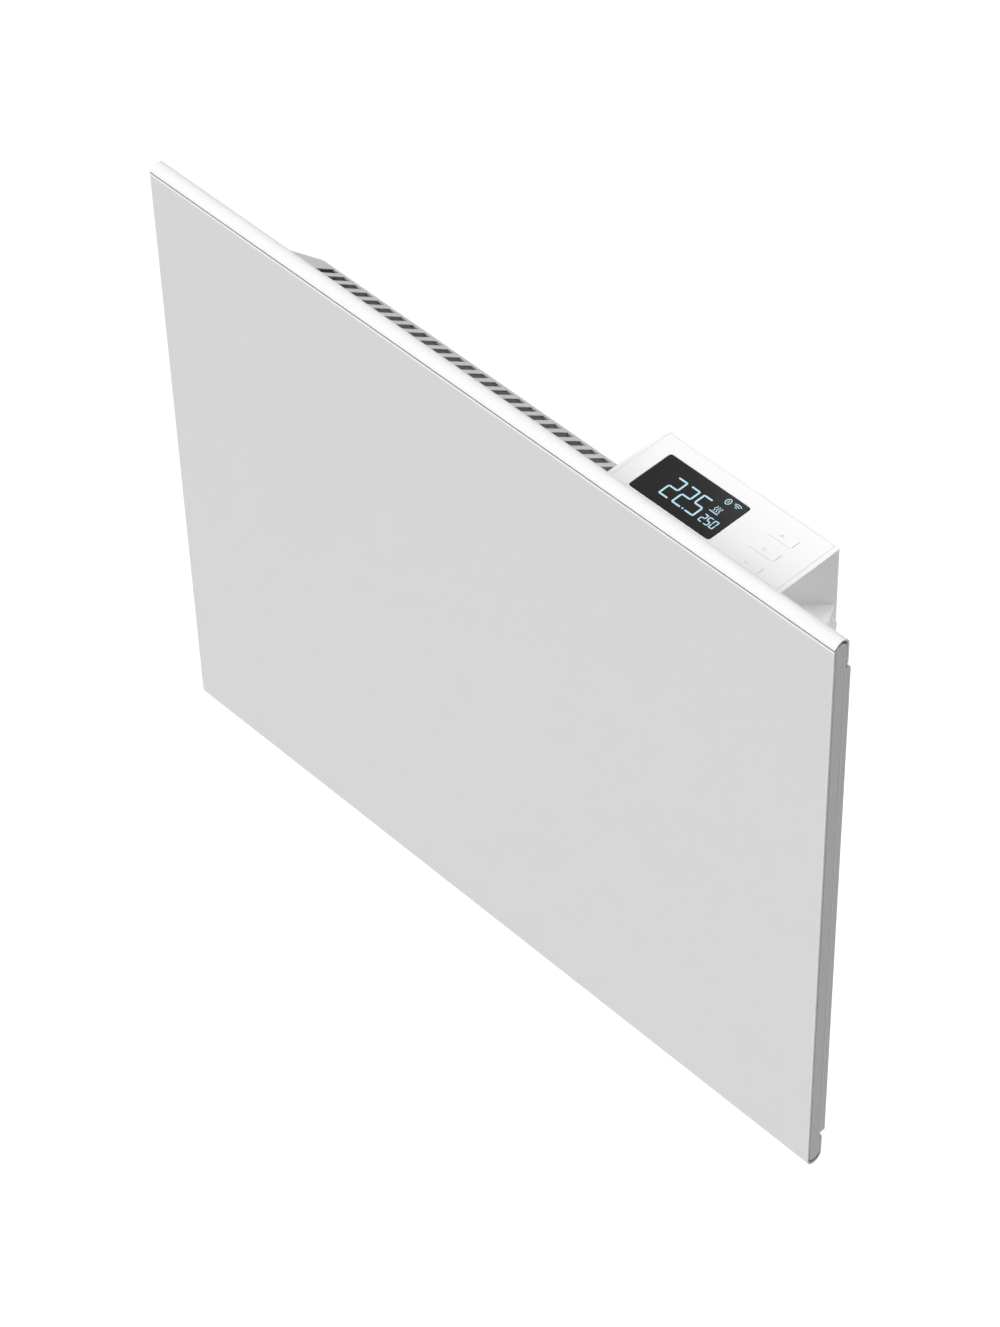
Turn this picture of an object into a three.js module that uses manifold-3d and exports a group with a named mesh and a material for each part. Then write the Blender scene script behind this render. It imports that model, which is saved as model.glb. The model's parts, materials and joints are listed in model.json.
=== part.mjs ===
// Wall panel convector heater: a folded front panel, a sloping casing with air slots behind it,
// a control housing with display and buttons at the top right, and the bracket it hangs on.
// Millimetres. +X runs to the right seen from the front, +Y into the wall, +Z up.
// The origin is the middle of the wall bracket's back face, so the wall is the plane Y = 0.
import * as THREE from "three";
import { mergeVertices } from "three/addons/utils/BufferGeometryUtils.js";
import Module from "manifold-3d";

const wasm = await Module();
wasm.setup();

// ---------------------------------------------------------------- driving dimensions

const GAP = 0.3; // clearance between two pieces that touch
const SLIDE_GAP = 0.3; // clearance around a piece that moves
const THROUGH = 4; // how far a cutter runs past the wall it cuts

const PANEL_WIDTH = 480;
const PANEL_HEIGHT = 400;
const SHEET = 1; // thickness of every folded sheet of the body
const ROLL_RADIUS = 5.2; // outside radius of the rolled top and bottom edge
const CREASE_DROP = 3.8; // from the top of the roll down to the crease in the front face
const BAND_WIDTH = 3; // shallow bevel between the crease and the flat face
const BAND_DEPTH = 0.3; // how far the bevel falls back at the panel's upright edges
const LIP_LENGTH = 18.5; // from the top of the roll down to the end of its return lip
const LIP_GAP = 4; // open line between the return lip and the back plate
const END_FLANGE_DEPTH = 8.2; // how far the folded ends reach back
const END_FLANGE_RECESS = 0.4; // how far they lie inside the ends of the rolls
const PLATE_EDGE_INSET = 0.1; // from the ends of the rolls to the back plate's side strips
const BACK_PLATE_DEPTH = 11.3; // front face to the back plate's front side

const CASING_DEPTH = 60; // front face to the casing's rear wall
const BRACKET_ROOM = 26; // from the casing's rear wall to the wall
const CASING_SLOPE = 0.7; // how far the sides spread for each millimetre towards the panel
const BRIM_INSET = 15; // from the panel's upright edges to the casing's brim
const BRIM_MARGIN = 0.1; // from the top and bottom edge of the back plate to the brim
const CASING_BASE_RADIUS = 10; // rounded corners of the casing, at the panel
const CASING_REAR_RADIUS = 9; // and at its rear wall
const BRIM_WIDTH = 7; // flat flange around the casing, which its screws go through
const BRIM_RADIUS = 22;

const SLOT_WIDTH = 4.4;
const SLOT_PITCH = 8.714;
const SLOT_MARGIN = 17.8; // from the left edge of the casing's rear wall to the first slot
const SLOT_FRONT_DEPTH = 22; // where a slot starts, from the front face
const SLOT_REAR_LAND = 2.4; // metal left between a slot and the rear edge
const SLOT_END_MARGIN = 5; // metal left between the last slot and the housing

const HOUSING_INSET = 63; // from the panel's right edge to the housing
const HOUSING_DROP = 34; // from the panel's top edge to the top of the housing
const HOUSING_WIDTH = 116.5;
const HOUSING_HEIGHT = 71;
const HOUSING_OVERHANG = 15; // how far the housing stands behind the casing's rear wall
const HOUSING_CORNER = 3; // rounded upright corners at the rear
const HOUSING_WALL = 2.2;
const APRON_OVERHANG = 10; // how far behind the casing's rear wall the apron runs out
const RIM_WIDTH = 3; // rim on either side of the lid
const COVER_THICKNESS = 2.5;
const COVER_LAND = 2.6; // from the housing's front edge to the lid
const LEDGE_HEIGHT = 1.5; // ledge that carries the lid
const LEDGE_WIDTH = 1.6;

const GLASS_WIDTH = 54;
const GLASS_LENGTH = 29.8;
const GLASS_THICKNESS = 1.5;
const GLASS_INSET = 10.5; // from the lid's left edge to the glass
const GLASS_REAR_INSET = 9.7; // from the lid's rear edge to the glass
const GLASS_CORNER = 1.5;
const GLASS_LEDGE = 2; // ledge of the lid that carries the glass

const BUTTON_INSET = 13.8; // from the lid's right edge to the buttons
const BUTTON_WIDTH = 16.4;
const BUTTON_LENGTH = 6.6;
const BUTTON_PITCH = 12.45;
const BUTTON_REAR_INSET = 25.2; // from the lid's rear edge to the middle of the middle button
const BUTTON_RADIUS = 1.2;
const BUTTON_PROUD = 0.25; // how far a button stands above the lid
const BUTTON_TRAVEL = 0.8;
const BUTTON_FLANGE = 1.2; // retaining flange under the lid
const BUTTON_FLANGE_THICKNESS = 1;
const PLUNGER_RADIUS = 1.5;
const PLUNGER_LENGTH = 1.9;

const PCB_THICKNESS = 1.6;
const PCB_DROP = 8.4; // from the top of the lid to the top of the board
const BOARD_FRONT_ROOM = 3.8; // from the lid's front edge back to the board's
const BOARD_REAR_ROOM = 1.8; // from the housing's rear wall to the board
const BOARD_SCREW_INSET = 9; // from the board's rear edge to its screws
const BOARD_SCREW_LENGTH = 7;
const BOARD_SCREW_HEAD = 2.4;
const RAIL_START = 1; // from the board's front edge to the start of its rails
const RAIL_WIDTH = 5;
const RAIL_HEIGHT = 4;
const TACT_SIZE = 6;
const TACT_HEIGHT = 3;
const CAPACITOR_PLACE = [42, 19]; // from the board's left and front edge, as for the pieces below
const CAPACITOR_RADIUS = 5;
const CAPACITOR_HEIGHT = 14;
const RELAY = { x: 57, depth: 11, width: 15, length: 20, height: -16 };
const TRANSFORMER = { x: 13, depth: 11, width: 18, length: 16, height: -15 };
const WIRELESS = { x: 21, depth: 1, width: 18, length: 9, height: 2.4 };

const ROCKER_RISE = 24.5; // from the bottom of the housing to the middle of the mains switch
const SWITCH_WIDTH = 15.5;
const SWITCH_HEIGHT = 22;
const SWITCH_BEZEL = 1.8;
const SWITCH_BODY_WIDTH = 12.6;
const SWITCH_BODY_HEIGHT = 18.6;
const SWITCH_BODY_DEPTH = 12;
const ROCKER_WIDTH = 9.6;
const ROCKER_RADIUS = 7.6; // from the rocker's axis to its two ends
const ROCKER_TILT = 9; // degrees either side of level
const ROCKER_AXIS_HEIGHT = 0.8; // axis above the surface of the apron
const ROCKER_END_ANGLE = 16; // degrees by which each end stands above the axis
const ROCKER_FOOT_ANGLE = 30;
const ROCKER_CREST = 1.2; // height of the middle of its face above the axis
const POCKET_DEPTH = 5.4;

const ELEMENT_RISE = 67.2; // from the bottom edge of the casing's rear wall to the element
const ELEMENT_STAND = 25; // from the casing's rear wall to the middle of the element
const ELEMENT_END_ROOM = 39.8; // from each end of the fins to the edge of the casing's rear wall
const FIN_COUNT = 10;
const FIN_LONG = 18.5;
const FIN_SHORT = 15;
const FIN_THICKNESS = 2;
const FIN_HUB_RADIUS = 6.5;
const ROD_RADIUS = 4;
const ROD_END = 24; // how far the rod stands out of the fins at each end
const PIN_RADIUS = 1.6;
const PIN_LENGTH = 8;
const BUSH_RADIUS = 8.5;
const BUSH_NECK_RADIUS = 6.2;
const BUSH_LENGTH = 9;
const ELEMENT_BRACKET_WIDTH = 32;
const ELEMENT_BRACKET_HEIGHT = 46;
const ELEMENT_BRACKET_FOOT = 14;

const LIMITER_X = 70;
const LIMITER_RISE = 44; // from the element up to the limiter
const LIMITER_RADIUS = 8;
const LIMITER_HEIGHT = 7;
const LIMITER_SHELF = 26;
const SHELF_MARGIN = 4;
const SHELF_FOOT = 16;
const TAB_THICKNESS = 0.8;
const TAB_WIDTH = 4;
const TAB_LENGTH = 6;
const TAB_SPREAD = 4;

const SENSOR_INSET = 26.8; // from the right edge of the casing's rear wall to the sensor
const SENSOR_RISE = 19.2; // from its bottom edge to the sensor
const SENSOR_RADIUS = 2.5;
const SENSOR_LENGTH = 14;
const SENSOR_CLIP = 9;

const LEAD_RADIUS = 1.2;
const LEAD_SIDES = 8;
const LEAD_STEPS = 26;
const LEAD_HOLE = 14;
const LEAD_HOLE_INSET = 89.5; // from the housing's left side to the middle of the hole
const LEAD_HOLE_RUN = 20; // from the casing's rear wall forward to the middle of the hole
const LEAD_STUB = 9; // how far the leads stand up into the housing

const INLET_INSET = 39.5; // from the housing's left side to the mains cable's way in
const INLET_SETBACK = 7; // from the casing's rear wall back to the middle of that way in
const INLET_BORE = 3.6;
const INLET_BARREL = 5.2;
const INLET_FLANGE = 6.4;
const INLET_FLANGE_THICKNESS = 1.6;
const INLET_LENGTH = 5;
const TERMINAL_RUN = 15; // from the cable clamp forward to the terminals
const TERMINAL_WIDTH = 30;
const TERMINAL_LENGTH = 14;
const TERMINAL_HEIGHT = 12;
const TERMINAL_BORE = 1.7;
const CLAMP_RUN = 15; // from the way in forward to the cable clamp
const CLAMP_LENGTH = 24;
const CLAMP_WIDTH = 6;
const CLAMP_HEIGHT = 7;
const CLAMP_SPREAD = 8.5; // from the cable to each of the clamp's screws
const CLAMP_SCREW_RADIUS = 1.2;
const CLAMP_SCREW_BITE = 1.2; // how deep those screws stand in the floor

const BRACKET_SHEET = 1.5;
const BRACKET_SPACING = 220; // between the middles of the two uprights
const BRACKET_UPRIGHT = 30;
const BRACKET_TOP_ROOM = 7; // from the bracket's top up to the housing
const BRACKET_RISE = 27.2; // from the bottom edge of the casing's rear wall to the bracket's
const CROSSBAR_HEIGHT = 30;
const HOOK_FINGER = 10;
const HOOK_TONGUE = 12;
const HOOK_THICKNESS = 5;
const HOOK_DROP = 16; // from the bracket's top down to the tongue of its upper hooks
const HOOK_RISE = 32; // from the bracket's bottom up to the tongue of its lower hooks
const HOOK_SIDE_GAP = 1.5;
const SCREW_SLOT_WIDTH = 5.5;
const SCREW_SLOT_LENGTH = 12;
const SCREW_SLOT_DROP = 48; // from the bracket's top down to its upper screw slots
const SCREW_SLOT_RISE = 64; // from the bracket's bottom up to its lower screw slots

const SPACER_RADIUS = 8;
const SPACER_INSET = 34.8; // from the edge of the casing's rear wall to a spacer
const SPACER_RISE = 19.2; // from its bottom edge to a spacer

const SCREW_RADIUS = 1.6;
const SCREW_HEAD_RADIUS = 2.9;
const SCREW_HEAD_HEIGHT = 2;
const SCREW_REACH = 5; // how far a screw's point stands through the back plate
const DRIVE_SLOT = 0.8;
const SCREW_CORNER_X = 125; // from the brim's corners to the casing's screws along it
const SCREW_CORNER_Z = 107.4;

// ---------------------------------------------------------------- places worked out from them

// Y of a place that lies depth behind the front face.
const back = (depth) => depth - CASING_DEPTH - BRACKET_ROOM;
const halfWidth = PANEL_WIDTH / 2;
const halfHeight = PANEL_HEIGHT / 2;
const backPlateRear = BACK_PLATE_DEPTH + SHEET;
const casingFront = backPlateRear + GAP;
const backPlateZ = halfHeight - LIP_LENGTH - LIP_GAP;
const brimX = halfWidth - BRIM_INSET;
const brimZ = backPlateZ - BRIM_MARGIN;
const slopeX = (depth) => brimX - BRIM_WIDTH - CASING_SLOPE * (depth - casingFront);
const slopeZ = (depth) => brimZ - BRIM_WIDTH - CASING_SLOPE * (depth - casingFront);
const slopeLength = Math.hypot(1, CASING_SLOPE);
const casingRearX = slopeX(CASING_DEPTH);
const casingRearZ = slopeZ(CASING_DEPTH);
const casingInnerRear = CASING_DEPTH - SHEET;
const housingRight = halfWidth - HOUSING_INSET;
const housingLeft = housingRight - HOUSING_WIDTH;
const housingTop = halfHeight - HOUSING_DROP;
const housingBottom = housingTop - HOUSING_HEIGHT;
const housingDepth = CASING_DEPTH + HOUSING_OVERHANG;
const apronDepth = CASING_DEPTH + APRON_OVERHANG;
const housingInnerLeft = housingLeft + HOUSING_WALL;
const housingInnerRight = housingRight - HOUSING_WALL;
const housingInnerRear = housingDepth - HOUSING_WALL;
const housingFloor = housingBottom + HOUSING_WALL;
const coverLeft = housingLeft + RIM_WIDTH;
const coverRight = housingRight - RIM_WIDTH;
const coverFront = casingFront + COVER_LAND;
const coverUnder = housingTop - COVER_THICKNESS;
const glassX = coverLeft + GLASS_INSET + GLASS_WIDTH / 2;
const glassDepth = housingInnerRear - GLASS_REAR_INSET - GLASS_LENGTH / 2;
const buttonX = coverRight - BUTTON_INSET - BUTTON_WIDTH / 2;
const middleButtonDepth = housingInnerRear - BUTTON_REAR_INSET;
const buttonDepths = { plus: BUTTON_PITCH, ok: 0, minus: -BUTTON_PITCH };
const buttonTop = housingTop + BUTTON_PROUD;
const buttonUnder = coverUnder - GAP - BUTTON_FLANGE_THICKNESS;
const pcbTop = housingTop - PCB_DROP;
const pcbUnder = pcbTop - PCB_THICKNESS;
const boardFront = coverFront + BOARD_FRONT_ROOM;
const boardRear = housingInnerRear - BOARD_REAR_ROOM;
const boardScrewDepth = boardRear - BOARD_SCREW_INSET;
const inletX = housingLeft + INLET_INSET;
const inletDepth = CASING_DEPTH + INLET_SETBACK;
const clampDepth = inletDepth - CLAMP_RUN;
const terminalDepth = clampDepth - TERMINAL_RUN;
const elementZ = ELEMENT_RISE - casingRearZ;
const elementDepth = casingInnerRear - ELEMENT_STAND;
const finBarX = casingRearX - ELEMENT_END_ROOM;
const rodX = finBarX + ROD_END;
const bushX = finBarX + GAP;
const bracketTop = housingBottom - BRACKET_TOP_ROOM;
const bracketBottom = BRACKET_RISE - casingRearZ;
const hookTops = [bracketTop - HOOK_DROP, bracketBottom + HOOK_RISE];
const screwSlotZs = [bracketTop - SCREW_SLOT_DROP, bracketBottom + SCREW_SLOT_RISE];

// ---------------------------------------------------------------- solids

const solidOf = (geometry) => {
  const bare = geometry.clone();
  bare.deleteAttribute("normal");
  bare.deleteAttribute("uv");
  const merged = mergeVertices(bare, 1e-4);
  return new wasm.Manifold(
    new wasm.Mesh({
      numProp: 3,
      vertProperties: new Float32Array(merged.attributes.position.array),
      triVerts: new Uint32Array(merged.index.array),
    }),
  );
};

const geometryOf = (solid) => {
  const mesh = solid.getMesh();
  const geometry = new THREE.BufferGeometry();
  geometry.setAttribute("position", new THREE.BufferAttribute(mesh.vertProperties, 3));
  geometry.setIndex(new THREE.BufferAttribute(mesh.triVerts, 1));
  const flat = geometry.toNonIndexed();
  flat.computeVertexNormals();
  return flat;
};

const join = (...solids) => solids.reduce((whole, piece) => whole.add(piece));
const cut = (solid, ...cutters) => cutters.reduce((whole, cutter) => whole.subtract(cutter), solid);

// Moves every vertex of a geometry to where a function sends it, each number rounded once.
const sendTo = (geometry, place) => {
  const position = geometry.attributes.position;
  for (let i = 0; i < position.count; i += 1) {
    position.setXYZ(i, ...place(position.getX(i), position.getY(i), position.getZ(i)));
  }
  return solidOf(geometry);
};

// A block between two corners.
const block = (x0, x1, y0, y1, z0, z1) =>
  sendTo(new THREE.BoxGeometry(1, 1, 1), (x, y, z) => [
    x < 0 ? x0 : x1,
    y < 0 ? y0 : y1,
    z < 0 ? z0 : z1,
  ]);

const shapeOf = (points) => new THREE.Shape(points.map(([a, b]) => new THREE.Vector2(a, b)));

const extrusion = (points) =>
  new THREE.ExtrudeGeometry(shapeOf(points), { depth: 1, bevelEnabled: false });

// An outline in Y and Z, drawn out along X.
const alongX = (points, x0, x1) =>
  sendTo(extrusion(points), (a, b, end) => [end < 0.5 ? x0 : x1, a, b]);

// An outline in X and Y, drawn out along Z.
const alongZ = (points, z0, z1) =>
  sendTo(extrusion(points), (a, b, end) => [a, b, end < 0.5 ? z0 : z1]);

// An outline in X and Z, drawn out along Y.
const alongY = (points, y0, y1) =>
  sendTo(extrusion(points), (a, b, end) => [a, end < 0.5 ? y1 : y0, b]);

// How a turned or round piece's own directions fall on X, Y and Z.
const AXES = {
  x: (radial, across, height) => [height, radial, across],
  y: (radial, across, height) => [across, height, radial],
  z: (radial, across, height) => [radial, across, height],
};

const FIRST_SIDE = 0.2; // turns round pieces a little, so that their corners don't line up

// A round bar along an axis from a start point.
const bar = (axis, radius, length, [x, y, z], sides = 24) =>
  sendTo(new THREE.CylinderGeometry(radius, radius, 1, sides, 1, false, FIRST_SIDE), (a, height, b) => {
    const [dx, dy, dz] = AXES[axis](b, a, height < 0 ? 0 : length);
    return [x + dx, y + dy, z + dz];
  });

// A turned piece: its profile is a list of [radius, height] that closes on itself.
const turned = (axis, profile, [x, y, z], sides = 32) => {
  const closed = [...profile, profile[0]].map(([r, h]) => new THREE.Vector2(r, h));
  return sendTo(new THREE.LatheGeometry(closed, sides), (a, height, b) => {
    const [dx, dy, dz] = AXES[axis](b, a, height);
    return [x + dx, y + dy, z + dz];
  });
};

const polar = (cx, cy, radius, degrees) => {
  const angle = THREE.MathUtils.degToRad(degrees);
  return [cx + radius * Math.cos(angle), cy + radius * Math.sin(angle)];
};

const arc = (cx, cy, radius, from, to, steps) =>
  Array.from({ length: steps + 1 }, (_, i) => polar(cx, cy, radius, from + ((to - from) * i) / steps));

// A rectangle with round corners, counter-clockwise.
const roundedRectangle = (cx, cy, width, height, radius, steps = 5) => {
  const x = width / 2 - radius;
  const y = height / 2 - radius;
  return [
    ...arc(cx + x, cy + y, radius, 0, 90, steps),
    ...arc(cx - x, cy + y, radius, 90, 180, steps),
    ...arc(cx - x, cy - y, radius, 180, 270, steps),
    ...arc(cx + x, cy - y, radius, 270, 360, steps),
  ];
};

// A solid between two outlines in X and Z of equal count, one at each depth behind the face.
const loft = (frontOutline, frontDepth, rearOutline, rearDepth) => {
  const count = frontOutline.length;
  const positions = [];
  frontOutline.forEach(([x, z]) => positions.push(x, back(frontDepth), z));
  rearOutline.forEach(([x, z]) => positions.push(x, back(rearDepth), z));
  const faces = [];
  for (let i = 0; i < count; i += 1) {
    const next = (i + 1) % count;
    faces.push(i, i + count, next, next, i + count, next + count);
  }
  for (let i = 1; i < count - 1; i += 1) {
    faces.push(0, i, i + 1);
    faces.push(count, count + i + 1, count + i);
  }
  const geometry = new THREE.BufferGeometry();
  geometry.setAttribute("position", new THREE.Float32BufferAttribute(positions, 3));
  geometry.setIndex(faces);
  return solidOf(geometry);
};

// A wire along a smooth route of points.
const wire = (points) => {
  const route = new THREE.CatmullRomCurve3(
    points.map(([x, depth, z]) => new THREE.Vector3(x, back(depth), z)),
  );
  const section = shapeOf(arc(0, 0, LEAD_RADIUS, 0, 360 - 360 / LEAD_SIDES, LEAD_SIDES - 1));
  const geometry = new THREE.ExtrudeGeometry(section, {
    steps: LEAD_STEPS,
    extrudePath: route,
    bevelEnabled: false,
  });
  return solidOf(geometry);
};

// ---------------------------------------------------------------- finishes

const FINISHES = {
  white_paint: { color: 0xe9e9e8, roughness: 0.55, metalness: 0 },
  white_plastic: { color: 0xf4f4f3, roughness: 0.35, metalness: 0 },
  black_glass: { color: 0x1c1c1d, roughness: 0.08, metalness: 0 },
  bare_steel: { color: 0xb9bcc0, roughness: 0.4, metalness: 0.9 },
  aluminium: { color: 0xc9cccf, roughness: 0.35, metalness: 0.9 },
  ceramic: { color: 0xe6dfcf, roughness: 0.6, metalness: 0 },
  board: { color: 0x1f5a38, roughness: 0.5, metalness: 0 },
  dark_plastic: { color: 0x2b2c2e, roughness: 0.5, metalness: 0 },
  grey_rubber: { color: 0x9a9b9c, roughness: 0.8, metalness: 0 },
  wire_sleeve: { color: 0xd9d2c3, roughness: 0.6, metalness: 0 },
};

const heater = new THREE.Group();

const piece = (name, finish, solid, parent = heater) => {
  const mesh = new THREE.Mesh(geometryOf(solid), new THREE.MeshStandardMaterial(FINISHES[finish]));
  mesh.name = name;
  parent.add(mesh);
  return mesh;
};

// ---------------------------------------------------------------- front panel

// Section of the folded sheet: flat face, a roll at the top and bottom, and the return lips.
function frontPanelSection() {
  const rollZ = halfHeight - ROLL_RADIUS;
  const creaseZ = halfHeight - CREASE_DROP;
  const creaseAngle = THREE.MathUtils.radToDeg(Math.asin((creaseZ - rollZ) / ROLL_RADIUS));
  const lipZ = halfHeight - LIP_LENGTH;
  const centre = back(ROLL_RADIUS);
  const inner = ROLL_RADIUS - SHEET;
  const outerTop = arc(centre, rollZ, ROLL_RADIUS, 0, 180 - creaseAngle, 12);
  const innerTop = arc(centre, rollZ, inner, 180, 0, 10);
  const faceEdge = [back(0), creaseZ - BAND_WIDTH];
  const flip = (points) => points.map(([y, z]) => [y, -z]).reverse();
  const outer = [[back(2 * ROLL_RADIUS), lipZ], ...outerTop, faceEdge];
  const inside = [...innerTop, [back(2 * ROLL_RADIUS - SHEET), lipZ]];
  return [...outer, ...flip(outer), ...flip(inside), ...inside];
}

// The folded-in end: a flat flange whose round ends nest inside the rolls.
function endFlange(side) {
  const radius = ROLL_RADIUS - SHEET - GAP;
  const rollZ = halfHeight - ROLL_RADIUS;
  const outline = [
    ...arc(back(ROLL_RADIUS), rollZ, radius, 40, 180, 8),
    [back(SHEET / 2), rollZ - radius],
    [back(SHEET / 2), radius - rollZ],
    ...arc(back(ROLL_RADIUS), -rollZ, radius, 180, 320, 8),
  ];
  const reach = [
    [back(0) - THROUGH, halfHeight],
    [back(0) - THROUGH, -halfHeight],
    [back(END_FLANGE_DEPTH), -halfHeight],
    [back(END_FLANGE_DEPTH), halfHeight],
  ];
  const outer = halfWidth - END_FLANGE_RECESS;
  const x0 = side > 0 ? outer - SHEET : -outer;
  return alongX(outline, x0, x0 + SHEET).intersect(alongX(reach, x0, x0 + SHEET));
}

// Wedge that bevels the face along an upright edge.
function edgeBevel(side) {
  const edge = side * (halfWidth + 1);
  const start = side * (halfWidth - BAND_WIDTH);
  const fall = (BAND_DEPTH * (BAND_WIDTH + 1)) / BAND_WIDTH;
  const outline = [
    [start, back(0)],
    [start, back(0) - THROUGH],
    [edge, back(0) - THROUGH],
    [edge, back(0) + fall],
  ];
  const ordered = side > 0 ? outline.reverse() : outline;
  return alongZ(ordered.reverse(), -halfHeight, halfHeight);
}

const frontPanel = cut(
  join(alongX(frontPanelSection(), -halfWidth, halfWidth), endFlange(1), endFlange(-1)),
  edgeBevel(1),
  edgeBevel(-1),
);

piece("front_panel", "white_paint", frontPanel);

// ---------------------------------------------------------------- screws

// Places of the screws through the casing's brim and the housing's brim, in X and Z.
const brimScrewX = brimX - BRIM_WIDTH / 2;
const brimScrewZ = brimZ - BRIM_WIDTH / 2;
const screwSpreadX = brimX - SCREW_CORNER_X;
const screwSpreadZ = brimZ - SCREW_CORNER_Z;
const CASING_SCREWS = {
  casing_screw_left_upper: [-brimScrewX, screwSpreadZ],
  casing_screw_left_lower: [-brimScrewX, -screwSpreadZ],
  casing_screw_right: [brimScrewX, -screwSpreadZ],
  casing_screw_top: [-screwSpreadX, brimScrewZ],
  casing_screw_bottom_left: [-screwSpreadX, -brimScrewZ],
  casing_screw_bottom_right: [screwSpreadX, -brimScrewZ],
};
const HOUSING_SCREWS = {
  housing_screw_top: [(housingLeft + housingRight) / 2, brimScrewZ],
  housing_screw_side: [brimScrewX, (housingBottom + housingTop) / 2],
};

// A pan head screw whose shank points from its seat towards the front.
function panScrew([x, z], seatDepth) {
  const head = bar("y", SCREW_HEAD_RADIUS, SCREW_HEAD_HEIGHT, [x, back(seatDepth + GAP), z], 16);
  const length = seatDepth + GAP - backPlateRear + SHEET + SCREW_REACH;
  const shank = bar("y", SCREW_RADIUS, length + 1, [x, back(seatDepth + GAP) - length, z], 12);
  const recess = block(
    x - SCREW_HEAD_RADIUS / 2,
    x + SCREW_HEAD_RADIUS / 2,
    back(seatDepth + GAP) + SCREW_HEAD_HEIGHT / 2,
    back(seatDepth + GAP) + SCREW_HEAD_HEIGHT + THROUGH,
    z - DRIVE_SLOT / 2,
    z + DRIVE_SLOT / 2,
  );
  return cut(join(head, shank), recess);
}

const screwHole = ([x, z], front, rear) =>
  bar("y", SCREW_RADIUS + GAP, back(rear) - back(front), [x, back(front), z], 16);

// ---------------------------------------------------------------- back plate

function backPlate() {
  const edgeX = halfWidth - PLATE_EDGE_INSET;
  const flangeFront = END_FLANGE_DEPTH + GAP;
  const section = [
    [-edgeX, back(flangeFront)],
    [-edgeX + SHEET, back(flangeFront)],
    [-edgeX + SHEET, back(BACK_PLATE_DEPTH)],
    [edgeX - SHEET, back(BACK_PLATE_DEPTH)],
    [edgeX - SHEET, back(flangeFront)],
    [edgeX, back(flangeFront)],
    [edgeX, back(backPlateRear)],
    [-edgeX, back(backPlateRear)],
  ];
  const holes = [...Object.values(CASING_SCREWS), ...Object.values(HOUSING_SCREWS)].map((place) =>
    screwHole(place, BACK_PLATE_DEPTH - THROUGH, backPlateRear + THROUGH),
  );
  return cut(alongZ(section, -backPlateZ, backPlateZ), ...holes);
}

piece("panel_back_plate", "white_paint", backPlate());

// ---------------------------------------------------------------- rear casing

const casingOutline = (depth, radius, inset) =>
  roundedRectangle(0, 0, 2 * (slopeX(depth) - inset), 2 * (slopeZ(depth) - inset), radius);

// One slot through a sloping side: flip is 1 for the top slope and -1 for the bottom.
function airSlot(x, flip) {
  const rear = CASING_DEPTH - SLOT_REAR_LAND;
  const points = [
    [back(SLOT_FRONT_DEPTH), flip * (slopeZ(SLOT_FRONT_DEPTH) + THROUGH)],
    [back(SLOT_FRONT_DEPTH), flip * (slopeZ(SLOT_FRONT_DEPTH) - THROUGH)],
    [back(rear), flip * (slopeZ(rear) - THROUGH)],
    [back(rear), flip * (slopeZ(rear) + THROUGH)],
  ];
  return alongX(flip > 0 ? points : points.reverse(), x, x + SLOT_WIDTH);
}

const firstSlotX = SLOT_MARGIN - casingRearX;

// Left edges of a row of slots that ends before the given X.
function slotRow(endX) {
  const room = endX - SLOT_END_MARGIN - SLOT_WIDTH - firstSlotX;
  const count = Math.floor(room / SLOT_PITCH + 1e-6) + 1;
  return Array.from({ length: count }, (_, i) => firstSlotX + i * SLOT_PITCH);
}

const uprightXs = [-BRACKET_SPACING / 2, BRACKET_SPACING / 2];
const hookXs = uprightXs.map((x) => x - Math.sign(x) * (BRACKET_UPRIGHT - BRACKET_SHEET) / 2);

// Hole in the casing's rear wall that a hook goes through, with room to lift the heater off.
function hookHole(x, top) {
  const half = BRACKET_SHEET / 2 + HOOK_SIDE_GAP;
  const lift = HOOK_FINGER + GAP;
  const y0 = back(casingInnerRear) - THROUGH;
  return block(x - half, x + half, y0, back(CASING_DEPTH) + THROUGH, top - HOOK_TONGUE - lift, top + GAP);
}

function rearCasing() {
  const outer = loft(
    casingOutline(casingFront, CASING_BASE_RADIUS, 0),
    casingFront,
    casingOutline(CASING_DEPTH, CASING_REAR_RADIUS, 0),
    CASING_DEPTH,
  );
  const thin = SHEET * slopeLength;
  const inner = loft(
    casingOutline(casingFront - THROUGH, CASING_BASE_RADIUS, thin),
    casingFront - THROUGH,
    casingOutline(casingInnerRear, CASING_REAR_RADIUS, thin),
    casingInnerRear,
  );
  const brim = loft(
    roundedRectangle(0, 0, 2 * brimX, 2 * brimZ, CASING_BASE_RADIUS),
    casingFront,
    roundedRectangle(0, 0, 2 * brimX, 2 * brimZ, CASING_BASE_RADIUS),
    casingFront + SHEET,
  );
  const housingRoom = block(
    housingLeft - GAP,
    halfWidth,
    back(0),
    back(CASING_DEPTH) + THROUGH,
    housingBottom - GAP,
    halfHeight,
  );
  const slots = [
    ...slotRow(housingLeft).map((x) => airSlot(x, 1)),
    ...slotRow(-firstSlotX + SLOT_END_MARGIN + 1).map((x) => airSlot(x, -1)),
  ];
  const holes = Object.values(CASING_SCREWS).map((place) =>
    screwHole(place, casingFront - THROUGH, casingFront + THROUGH),
  );
  const hooks = hookTops.flatMap((top) => hookXs.map((x) => hookHole(x, top)));
  return cut(join(outer, brim), inner, housingRoom, ...slots, ...holes, ...hooks);
}

piece("rear_casing", "white_paint", rearCasing());
for (const [name, place] of Object.entries(CASING_SCREWS)) {
  piece(name, "bare_steel", panScrew(place, casingFront + SHEET));
}

// ---------------------------------------------------------------- control housing

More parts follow.
